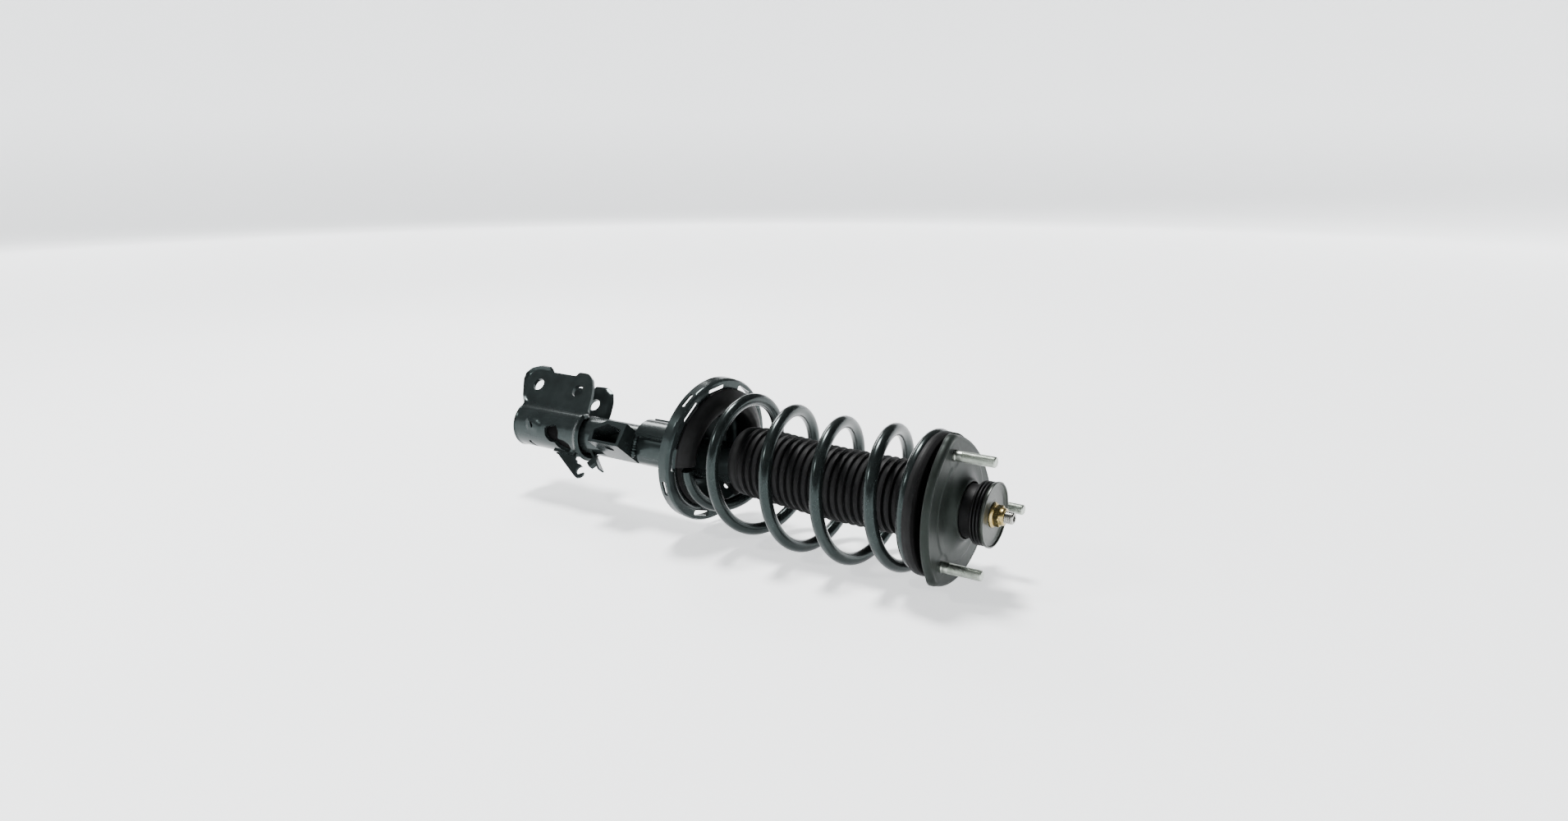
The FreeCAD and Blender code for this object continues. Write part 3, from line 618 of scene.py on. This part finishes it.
def lower_seat():
    """Pan with a skirt, a flat flange with slots and a cone that meets the tube."""
    f, s = SEAT_FLOOR, SEAT_STATION
    corners = [(s - 15.5, 89.4), (s - 2.7, 89.4), (s - 1.5, 87.8), (s - 1.5, 79.6),
               (s - 3.0, 76.5), (f - 2.0, 60.0), (f - 7.0, 52.0), (f - 8.0, 43.0)]
    meridian = [Vector(corners[0])]
    for before, corner, after in zip(corners, corners[1:], corners[2:]):
        b, c, a = Vector(before), Vector(corner), Vector(after)
        reach = min(2.8, (b - c).length * 0.45, (a - c).length * 0.45)
        start, finish = c + (b - c).normalized() * reach, c + (a - c).normalized() * reach
        meridian += [curve(start, c, finish, t) for t in (0, 0.33, 0.67, 1)]
    meridian.append(Vector(corners[-1]))
    lengths = [0.0]
    for a, b in zip(meridian, meridian[1:]):
        lengths.append(lengths[-1] + (b - a).length)
    total = lengths[-1]
    blank_r = 86.0
    turn_length = FULL * blank_r

    def at_turn(angle):
        """Distance along the blank at an angle in degrees."""
        return (angle % 360) / 360 * turn_length

    skirt, flange_mid, cone = 7.0, 20.5, 38.0
    slots = [circle(at_turn(a), flange_mid, 3.3, 28, 24.0)
             for a in (18, 57, 96, 131.5, 175, 252, 291, 330)]
    slots += [circle(at_turn(a), skirt, 2.7, 24, 15.0) for a in (50, 125, 200, 275, 340)]
    slots += [circle(at_turn(a), cone, 3.2, 16, 6.0) for a in (30, 120, 210, 300)]
    steps = 170
    side_steps = 22
    bottom = [(turn_length * i / steps, 0.0) for i in range(steps)]
    side = [(turn_length, total * i / side_steps) for i in range(side_steps)]
    outline = (bottom + side + [(turn_length - x, total) for x, _ in bottom]
               + [(0.0, total - y) for _, y in side])

    def place(u, v):
        k = next((i for i in range(len(lengths) - 1) if lengths[i + 1] >= v), len(lengths) - 2)
        share = (v - lengths[k]) / (lengths[k + 1] - lengths[k])
        spot = meridian[k].lerp(meridian[k + 1], share)
        return around(360 * u / turn_length, spot.y, spot.x)

    bm = pattern(outline, slots, (3.4, 2.2), place)
    bmesh.ops.remove_doubles(bm, verts=bm.verts, dist=2e-5)
    bm.transform(SEAT_MATRIX)
    piece("lower_seat_pan", bm, GLOSS, "housing", ["lower_spring_seat"],
          smooth_angle=50, bevel=0.5, thickness=3.0)
    seat_collar(corners[-1])


def seat_collar(rim):
    """Neck that grows from the tube's own axis to the leaning, offset pan."""
    f = SEAT_FLOOR
    foot = [(f - 26, 26.4), (f - 21, 26.6), (f - 17, 28.2), (f - 14, 31.5), (f - 12, 36.0)]
    bm = bmesh.new()
    sides, steps, overlap = 96, 8, 0.8
    rows = []
    for x, r in foot:
        rows.append([bm.verts.new(P(*around(360 * k / sides, r, x))) for k in range(sides)])
    for j in range(1, steps + 1):
        share = j / steps
        row = []
        for k in range(sides):
            low = P(*around(360 * k / sides, foot[-1][1], foot[-1][0]))
            high = SEAT_MATRIX @ P(*around(360 * k / sides, rim[1] + overlap, rim[0]))
            row.append(bm.verts.new(low.lerp(high, share)))
        rows.append(row)
    skin(bm, rows)
    piece("lower_seat_collar", bm, GLOSS, "housing", smooth_angle=50,
          thickness=2.6, even=False)


def lower_isolator():
    """Rubber horseshoe, and a thin ledge under the wire where it is open."""
    f, s = SEAT_FLOOR, SEAT_STATION
    ring = rounded_profile([(f + 6.5, 66.5), (s - 1.6, 76.6), (s + 0.6, 79.2), (s + 3.0, 79.4),
                            (s + 8.5, 74.6), (s + 13.5, 67.5), (s + 15.5, 60.5),
                            (s + 13.0, 55.0), (s + 4, 53.0), (f - 0.5, 55.0)], 2.2, 4)
    bm = lathe(ring, 110, sweep=244.0, start=-62.0)
    bm.transform(SEAT_MATRIX)
    piece("lower_isolator_horseshoe", bm, RUBBER, "housing",
          ["lower_isolator"], smooth_angle=45, bevel=1.0)
    ledge = rounded_profile([(f + 3.2, 61.5), (f + 11.2, 71.0), (s - 2.8, 71.8),
                             (s - 2.6, 61.0)], 1.6, 3)
    bm = lathe(ledge, 40, sweep=67.0, start=182.0)
    bm.transform(SEAT_MATRIX)
    piece("lower_isolator_ledge", bm, RUBBER, "housing", smooth_angle=45,
          bevel=0.8)


# ---- upper seat -------------------------------------------------------------------------------
def upper_seat():
    """Rubber ring and dull black pressing that hold the spring's upper end."""
    isolator = rounded_profile([(623.5, 60), (621.4, 65), (621.4, 76.5), (619.5, 78.6),
                                (617, 79.2), (617, 80.8), (622, 81.2), (625, 80.2),
                                (628.9, 78), (628.9, 60)], 0.9, 3)
    bm = lathe(isolator, 128)
    piece("upper_isolator_ring", bm, RUBBER, "upper_seat", ["upper_isolator"],
          smooth_angle=50)
    seat = rounded_profile([(629, 50), (629, 78.6), (627.5, 79.2), (627.5, 80.6), (631, 80.6),
                            (632, 78.8), (632, 54), (634.5, 51), (634.5, 26.5),
                            (631.5, 26.5), (631.5, 49)], 0.8, 3)
    bm = lathe(seat, 128)
    piece("upper_seat_pressing", bm, DULL_BLACK_AND_PAINTED_SHADE, "upper_seat",
          ["upper_spring_seat"], smooth_angle=50)


# ---- top mount --------------------------------------------------------------------------------
STUD_REACH, STUD_ANGLES = 69.5, (-11.5, 108.5, 228.5)
LOBE_R, NECK_R = 22.5, 30.0
PAD_R, PAD_SLOPE = 14.5, 2.5            # sunken pads round the studs
SIDE_R, SIDE_SWING = (71.5, 84.5, 82.8), (46.0, 28.0, 31.0)


def side_circle(i):
    """Centre distance, radius and end angle of a side's arc, seen from the strut's axis."""
    swing = math.radians(SIDE_SWING[i])
    along, across = STUD_REACH + LOBE_R * math.cos(swing), LOBE_R * math.sin(swing)
    end = math.hypot(along, across)
    gap = math.atan2(across, along)
    half = math.radians(60) - gap
    x, y = end * math.sin(half), end * math.cos(half)
    drop = SIDE_R[i] - y
    radius = (x * x + drop * drop) / (2 * drop)
    return SIDE_R[i] - radius, radius, math.degrees(gap)


SIDES = [side_circle(i) for i in range(3)]


def mount_outline(angle):
    """Radius of the plate's rounded-triangle outline at an angle in degrees."""
    turn = (angle - STUD_ANGLES[0]) % 360
    i = int(turn // 120)
    gap = min(turn - 120 * i, 120 * (i + 1) - turn)
    centre, radius, joint = SIDES[i]
    if gap > joint:
        away = math.radians(60 - gap)
        across = centre * math.sin(away)
        return centre * math.cos(away) + math.sqrt(radius ** 2 - across ** 2)
    across = STUD_REACH * math.sin(math.radians(gap))
    return STUD_REACH * math.cos(math.radians(gap)) + math.sqrt(LOBE_R ** 2 - across ** 2)


def mount_plate():
    """Rounded-triangle pressing: rolled rim, flat face with sunken pads, and a neck."""
    around_count, inner_levels = 240, 26
    rim_inset, face_inner, pad_depth, edge_drop = 6.0, 50.0, 0.7, 0.9
    low = station("mount_plate", False)
    rim = [(low, 0.0), (low + 2.2, 0.0), (low + 4.5, 0.15), (low + 6.3, 0.9),
           (low + 7.7, 2.2), (low + 8.6, 3.9), (low + 9.0, rim_inset)]
    bm = bmesh.new()
    rings = []
    for x, inset in rim:
        rings.append([(x, mount_outline(360 * k / around_count) - inset)
                      for k in range(around_count)])
    for j in range(1, inner_levels + 1):
        share = j / inner_levels
        ring = []
        for k in range(around_count):
            edge = mount_outline(360 * k / around_count) - rim_inset
            ring.append((FACE, edge + (face_inner - edge) * share))
        rings.append(ring)
    neck = [(FACE + 0.2, 47.5), (FACE + 0.7, 44.5), (FACE + 1.6, 41.8), (FACE + 2.9, 39.2),
            (FACE + 4.6, 36.8), (FACE + 6.4, 35.2), (FACE + 8.2, 34.3), (FACE + 9.3, 33.6),
            (FACE + 9.9, 32.4), (FACE + 10.0, 31.6)]
    for x, r in neck:
        rings.append([(x, r)] * around_count)

    made = []
    for ring in rings:
        row = []
        for k, (x, r) in enumerate(ring):
            angle = 360 * k / around_count
            _, y, z = around(angle, r)
            gap = min(math.hypot(y - STUD_REACH * math.cos(math.radians(a)),
                                 z - STUD_REACH * math.sin(math.radians(a)))
                      for a in STUD_ANGLES)
            pad = smooth((PAD_R - gap) / PAD_SLOPE)
            lift = 0.0
            if x >= FACE - 0.05 and r > 46:
                lift -= pad_depth * pad
                lift -= edge_drop * smooth((r - 58.5) / 3.0) * (1 - pad)
            row.append(bm.verts.new(P(x + lift, y, z)))
        made.append(row)
    skin(bm, made)
    piece("mount_plate_pressing", bm, SATIN, "rod_mount",
          ["mount_plate"], smooth_angle=55, thickness=3.0, offset=-1.0)


def thread(low, high, radius, pitch, segments, centre=(0.0, 0.0), chamfer=1.2):
    """Right-handed thread as a height map on a rod, chamfered at the high end."""
    bm = bmesh.new()
    per_pitch, depth_share, steepness = 6, 0.62, 1.35
    rows = int((high - low) / pitch * per_pitch)
    depth = pitch * depth_share
    made = []
    for i in range(rows + 1):
        x = low + (high - low) * i / rows
        ring = []
        for k in range(segments):
            phase = (x / pitch - k / segments) % 1.0
            ridge = 1 - abs(2 * phase - 1)
            crest = min(ridge * steepness, 1.0)
            r = radius - depth * (1 - crest)
            fade = min((x - low) / pitch, 1.0)
            r = radius - (radius - r) * fade
            r = min(r, radius - chamfer * max(1 - (high - x) / chamfer, 0.0))
            turn = FULL * k / segments
            ring.append(bm.verts.new(P(x, centre[0] + r * math.cos(turn),
                                       centre[1] + r * math.sin(turn))))
        made.append(ring)
    skin(bm, made)
    bm.faces.new(made[-1])
    bm.faces.new(made[0])
    return bm


def shifted(bm, centre):
    """Move a bmesh sideways by (y, z) millimetres."""
    bmesh.ops.translate(bm, verts=bm.verts, vec=Vector((0, centre[0], centre[1])) * MM)
    return bm


def merge(*parts):
    """Join several bmeshes into the first."""
    whole = parts[0]
    for part in parts[1:]:
        mesh = bpy.data.meshes.new("part")
        part.to_mesh(mesh)
        whole.from_mesh(mesh)
        bpy.data.meshes.remove(mesh)
        part.free()
    return whole


STUD_R, STUD_NECK_R, STUD_SHANK_R, STUD_HEAD_R, STUD_PITCH = 6.0, 6.3, 5.9, 8.0, 1.25


def mount_studs():
    """Three studs with a neck, a plain shank, a thread and a head under the plate."""
    high = station("mount_studs")
    whole = None
    for angle in STUD_ANGLES:
        _, y, z = around(angle, STUD_REACH)
        body = rounded_profile([(FACE - 3, 0.01), (FACE - 3, STUD_NECK_R),
                                (FACE + 1.0, STUD_NECK_R), (FACE + 2.2, STUD_SHANK_R),
                                (FACE + 8.5, STUD_SHANK_R), (FACE + 9, 0.01)], 0.3, 2)
        shank = shifted(lathe(body, 32), (y, z))
        screw = thread(FACE + 8.0, high, STUD_R, STUD_PITCH, 28, centre=(y, z))
        flat = rounded_profile([(FACE - 6.2, 0.01), (FACE - 6.2, STUD_HEAD_R),
                                (FACE - 3.3, STUD_HEAD_R), (FACE - 3.3, 0.01)], 0.6, 2)
        head = shifted(lathe(flat, 36), (y, z))
        whole = merge(whole, shank, screw, head) if whole else merge(shank, screw, head)
    piece("mount_stud_set", whole, ZINC, "rod_mount", ["mount_studs"],
          smooth_angle=35)


def mount_rubber():
    """Bonded rubber: a neck with three lips."""
    low, high = station("mount_rubber", False), station("mount_rubber")
    lip, bore, lips, first_lip = 35.4, 12.0, 3, FACE + 22.6
    outline = [(low, bore), (low, NECK_R - 0.2), (FACE + 21.5, NECK_R - 0.1),
               (FACE + 22.2, lip - 3.0)]
    pitch = (high - first_lip) / lips
    for i in range(lips):
        start = first_lip + pitch * i
        outline += [(start + 0.2, lip - 1.0), (start + 1.0, lip), (start + pitch - 1.3, lip),
                    (start + pitch - 0.7, lip - 1.0), (start + pitch - 0.4, NECK_R + 1.6)]
    outline = outline[:-1] + [(high, lip - 2.0), (high, bore)]
    bm = lathe(rounded_profile(outline, 0.6, 2), 128)
    piece("mount_rubber_body", bm, RUBBER, "rod_mount", ["mount_rubber"],
          smooth_angle=50)


def rebound_washer():
    """Washer with a turned-up rim and a raised ring round its hole."""
    low, high = station("rebound_washer", False), station("rebound_washer")
    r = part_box("rebound_washer")[1][1] / MM
    outline = [(low, 7.3), (low, r - 3.2), (low + 0.9, r - 0.9), (low + 3.2, r),
               (high, r), (high, r - 1.7), (low + 3.6, r - 2.2), (low + 2.5, r - 4.2),
               (low + 2.5, 17.0), (low + 2.9, 15.6), (low + 2.6, 7.3)]
    bm = lathe(rounded_profile(outline, 0.7, 3), 128)
    piece("rebound_washer_pressing", bm, WASHER, "rod_mount",
          ["rebound_washer"], smooth_angle=50)


def nut_body(low, high, flats, bore):
    """Hexagon with chamfered corners as rings from the bore out and back."""
    bm = bmesh.new()
    segments = 96
    corner = flats / math.sqrt(3)
    chamfer = corner - flats / 2

    def hexagonal(k):
        return hexagon(flats / 2, k, segments)

    levels = [(low, lambda k: bore), (low, hexagonal), (high - chamfer * 0.8, hexagonal),
              (high - chamfer * 0.4, lambda k: min(hexagonal(k), corner - chamfer * 0.45)),
              (high, lambda k: flats / 2 - 0.25), (high, lambda k: bore)]
    made = []
    for x, radius in levels:
        made.append([bm.verts.new(P(*around(360 * k / segments, radius(k), x)))
                     for k in range(segments)])
    skin(bm, made + made[:1])
    return bm


def top_nut():
    """Flange nut with a locking collar."""
    low, high = station("top_nut", False), station("top_nut")
    bore, flats = 7.0, 21.0
    flange = lathe(rounded_profile([(low, bore), (low, 14), (low + 1.5, 14), (low + 3.6, 11.8),
                                    (low + 3.6, bore)], 0.45, 3), 96)
    body = nut_body(low + 3.2, low + 10.4, flats, bore)
    collar = lathe(rounded_profile([(low + 9.8, bore), (low + 9.8, 9.9), (low + 12.6, 9.7),
                                    (high, 8.6), (high, bore)], 0.6, 3), 72)
    piece("top_nut_flanged", merge(flange, body, collar), GOLD, "rod_mount",
          ["top_nut"], smooth_angle=32)


ROD_R, ROD_TENON_R, ROD_THREAD_R, ROD_PITCH = 11.0, 6.0, 6.9, 1.5
ROD_LOW, ROD_TENON_TOP, ROD_SHOULDER = 321.5, 343.5, 641.0
SOCKET_HALF_FLATS = 3.15


def rod_end():
    """Threaded end of the rod with its hexagon socket."""
    tip = station("piston_rod")
    base, segments = 686.0, 36
    bm = thread(base, tip - 0.05, ROD_THREAD_R, ROD_PITCH, segments, chamfer=1.4)
    bmesh.ops.delete(bm, geom=[f for f in bm.faces if len(f.verts) > 4], context="FACES_ONLY")

    def hexagonal(k):
        return hexagon(SOCKET_HALF_FLATS, k, segments)

    levels = [(tip - 0.05, lambda k: 5.5), (tip - 0.05, lambda k: hexagonal(k) + 0.5),
              (tip - 0.6, hexagonal), (tip - 6.5, hexagonal), (tip - 8.0, lambda k: 0.05)]
    made = []
    for x, radius in levels:
        made.append([bm.verts.new(P(*around(360 * k / segments, radius(k), x)))
                     for k in range(segments)])
    skin(bm, made)
    bmesh.ops.remove_doubles(bm, verts=bm.verts, dist=2e-5)
    neck = ROD_THREAD_R - 0.1
    shank = lathe(rounded_profile([(ROD_LOW, 0.01), (ROD_LOW, ROD_TENON_R),
                                   (ROD_TENON_TOP, ROD_TENON_R), (ROD_TENON_TOP, ROD_R),
                                   (ROD_SHOULDER, ROD_R), (ROD_SHOULDER, neck),
                                   (base + 0.5, neck), (base + 0.5, 0.01)], 0.5, 2), 64)
    piece("piston_rod_threaded", merge(bm, shank), CHROME, "rod_mount",
          ["piston_rod"], smooth_angle=40)


# ---- tube, saddle and welds -------------------------------------------------------------------
TUBE_R, TUBE_BORE_R, WRAP_END = 25.0, 22.5, 111.0


def strut_tube():
    """Tube in rings, so that its part under the bracket's wrap can take a near-black matte paint:
    painted shade that makes the wrap's windows read dark.
    """
    low, high = station("strut_tube", False), station("strut_tube")
    outline = rounded_profile([(low, TUBE_BORE_R), (low, TUBE_R), (high - 2.5, TUBE_R),
                               (high, 21.5), (high, 18.6), (high - 4, TUBE_BORE_R)], 1.0, 3)
    step = 8
    stations = [low + step * i for i in range(1, int((high - low) / step))]
    k = next(i for i, p in enumerate(outline)
             if p[1] > TUBE_R - 0.1 and outline[i + 1][0] > low + 50)
    outline = outline[:k + 1] + [(x, TUBE_R) for x in stations] + outline[k + 1:]
    bm = lathe(outline, 96)
    obj = piece("strut_tube_shell", bm, GLOSS, "housing", ["strut_tube"],
                smooth_angle=50)
    # Second slot: near-black matte paint as painted shade on the faces under the wrap, seen
    # through its windows
    obj.data.materials.append(DULL_BLACK_AND_PAINTED_SHADE)
    under_wrap = P(WRAP_END).x
    for face in obj.data.polygons:
        if face.center.x < under_wrap:
            face.material_index = 1


def weld(name, points, size, seed, ripple=3.0):
    """A fillet bead with overlapping ripples along points (millimetres, stations)."""
    path = [P(*p) for p in points]
    fine = []
    for a, b in zip(path, path[1:]):
        parts = max(int((b - a).length / (0.55 * MM)), 1)
        fine += [a.lerp(b, k / parts) for k in range(parts)]
    fine.append(path[-1])
    length = [0.0]
    for a, b in zip(fine, fine[1:]):
        length.append(length[-1] + (b - a).length / MM)
    total = length[-1]

    def section(i, turn):
        s = length[i]
        wave = abs(math.sin(math.pi * (s / ripple + 0.35 * noise.noise((s * 0.2, seed, 0)))))
        lump = noise.noise((s * 0.35, math.cos(turn) * 1.3, math.sin(turn) * 1.3 + seed))
        ends = min(s, total - s)
        return size * (0.74 + 0.22 * wave + 0.22 * lump) * (0.35 + 0.65 * smooth(ends / size))

    bm = tube_along(fine, section, 16)
    return piece(name, bm, GLOSS, "housing", smooth_angle=75)


def arc_points(x, radius, start, sweep, count):
    """Points round the tube."""
    return [around(start + sweep * k / count, radius, x) for k in range(count + 1)]


def local_line(points):
    """Points given in the bracket's own frame."""
    return [turn_bracket(p) for p in points]


def welds():
    """Beads that show; the CAD node's beads are hidden."""
    weld("weld_seat_ring", arc_points(SEAT_FLOOR - 26, 27.0, 150, 250, 60), 3.0, 3.0)
    weld("weld_bracket_high", arc_points(121.0, 27.2, -99, 130, 40), 2.6, 5.0)
    weld("weld_link_upright", local_line([(210.5, -17, -25), (211.2, -22, -19),
                                          (211.0, -25.5, -10), (210.5, -27, 0),
                                          (210.0, -26.5, 5)]), 3.6, 7.0, 3.4)
    weld("weld_link_top", local_line([(205, -26.4, 5), (192, -26.2, 4.5), (178, -25.6, 5),
                                      (166, -26.8, 0.5), (157, -27.4, -6)]), 2.3, 11.0)
    weld("weld_link_low", local_line([(206, -17.5, -22), (190, -17.3, -22.3),
                                      (175, -17.4, -22.2), (161, -17.6, -22)]), 2.6, 13.0)
    weld("weld_saddle_near", arc_points(240.0, 27.0, 30, 24, 12), 2.6, 17.0)
    weld("weld_hose_tab", local_line([(64, 6, -32.4), (80, 6.4, -32.2), (98, 6.2, -32.4)]), 2.2,
         19.0)
    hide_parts("weld_beads")


# ---- carried-over solids ----------------------------------------------------------------------
def dress_solids():
    """Give every CAD node its finish."""
    for part in frame["record"]["subparts"]:
        obj = nodes[part["node"]]
        mat = FINISH[part["material_slot"]]
        if obj.data.materials:
            for i in range(len(obj.data.materials)):
                obj.data.materials[i] = mat
        else:
            obj.data.materials.append(mat)


def soften(names, width):
    """Round the edges of CAD nodes that stay visible."""
    for name in names:
        obj = nodes[name]
        edge = obj.modifiers.new("edges", "BEVEL")
        edge.width = width * MM
        edge.segments = 3
        edge.limit_method = "ANGLE"
        edge.angle_limit = math.radians(35)
        smooth_mod = obj.modifiers.new("normals", "WEIGHTED_NORMAL")
        smooth_mod.keep_sharp = False


# ---- floor, light and camera ------------------------------------------------------------------
def studio():
    """Pale, faintly glowing floor that curves up into a low wall all round, under a soft sun
    with two small panels behind and beside the strut."""
    floor_z = cad_box[0][2]
    middle = ((cad_box[0][0] + cad_box[1][0]) / 2, 0, floor_z)
    floor_r, cove_r, wall_top = 4.2, 0.5, 1.35
    profile = [(1.0, 0.0), (floor_r, 0.0)]
    profile += [(floor_r + cove_r * math.sin(a), cove_r * (1 - math.cos(a)))
                for a in [math.radians(15 * k) for k in range(1, 7)]]
    profile.append((floor_r + cove_r, wall_top))
    bm = bmesh.new()
    count = 64
    rings = [[bm.verts.new((middle[0] + r * math.cos(FULL * k / count),
                            middle[1] + r * math.sin(FULL * k / count), floor_z + z))
              for k in range(count)] for r, z in profile]
    bm.faces.new(rings[0])
    skin(bm, rings)
    bmesh.ops.recalc_face_normals(bm, faces=bm.faces)
    bmesh.ops.reverse_faces(bm, faces=bm.faces)
    mesh = bpy.data.meshes.new("floor")
    bm.to_mesh(mesh)
    bm.free()
    mesh.shade_smooth()
    floor = bpy.data.objects.new("floor", mesh)
    bpy.context.collection.objects.link(floor)
    paper = material("pale_floor", (0.88, 0.885, 0.89), 0.6, vary=0.01, rough_vary=0.02,
                     scale=4, specular=0.2)
    glow = paper.node_tree.nodes["Principled BSDF"].inputs
    glow["Emission Color"].default_value = (0.96, 0.985, 1.0, 1)
    glow["Emission Strength"].default_value = 1.1
    mesh.materials.append(paper)

    world = bpy.data.worlds.new("studio")
    bpy.context.scene.world = world
    world.use_nodes = True
    back = world.node_tree.nodes["Background"]
    back.inputs["Color"].default_value = (0.93, 0.97, 1.0, 1)
    back.inputs["Strength"].default_value = 0.06

    sun = bpy.data.lights.new("overhead", "SUN")
    sun.energy = 6.5
    sun.angle = math.radians(14)
    lamp = bpy.data.objects.new("overhead", sun)
    lamp.rotation_euler = Vector((0.30, -0.22, -1.0)).to_track_quat("-Z", "Y").to_euler()
    bpy.context.collection.objects.link(lamp)

    def panel(name, place, size, power):
        light = bpy.data.lights.new(name, "AREA")
        light.shape = "RECTANGLE"
        light.size, light.size_y = size
        light.energy = power
        obj = bpy.data.objects.new(name, light)
        obj.location = place
        obj.rotation_euler = (Vector(middle) - Vector(place)).to_track_quat("-Z", "Y").to_euler()
        bpy.context.collection.objects.link(obj)

    panel("back_panel", (-1.6, 0.9, 1.1), (0.7, 0.25), 14)
    panel("side_panel", (-1.4, -1.3, 1.4), (0.22, 0.22), 16)


def camera():
    """Camera at the near side and mount end, a little above the strut."""
    lens, width = 25.44, 36.0
    azimuth, elevation = math.radians(32.6), math.radians(14.87)
    data = bpy.data.cameras.new("camera")
    data.lens, data.sensor_width = lens, width
    data.clip_start, data.clip_end = 0.05, 100
    obj = bpy.data.objects.new("camera", data)
    obj.location = (0.4505, -1.0630, 0.4125)
    forward = Vector((-math.sin(azimuth) * math.cos(elevation),
                      math.cos(azimuth) * math.cos(elevation), -math.sin(elevation)))
    obj.rotation_euler = forward.to_track_quat("-Z", "Y").to_euler()
    bpy.context.collection.objects.link(obj)
    bpy.context.scene.camera = obj


dress_solids()
soften(["hose_bracket", "sensor_lead_clip", "link_bracket", "seat_support", "tube_cap",
        "bottom_cap"], 0.7)
coil_spring()
dust_boot()
knuckle_bracket()
lower_seat()
lower_isolator()
upper_seat()
mount_plate()
mount_studs()
mount_rubber()
rebound_washer()
top_nut()
rod_end()
strut_tube()
welds()
studio()
camera()
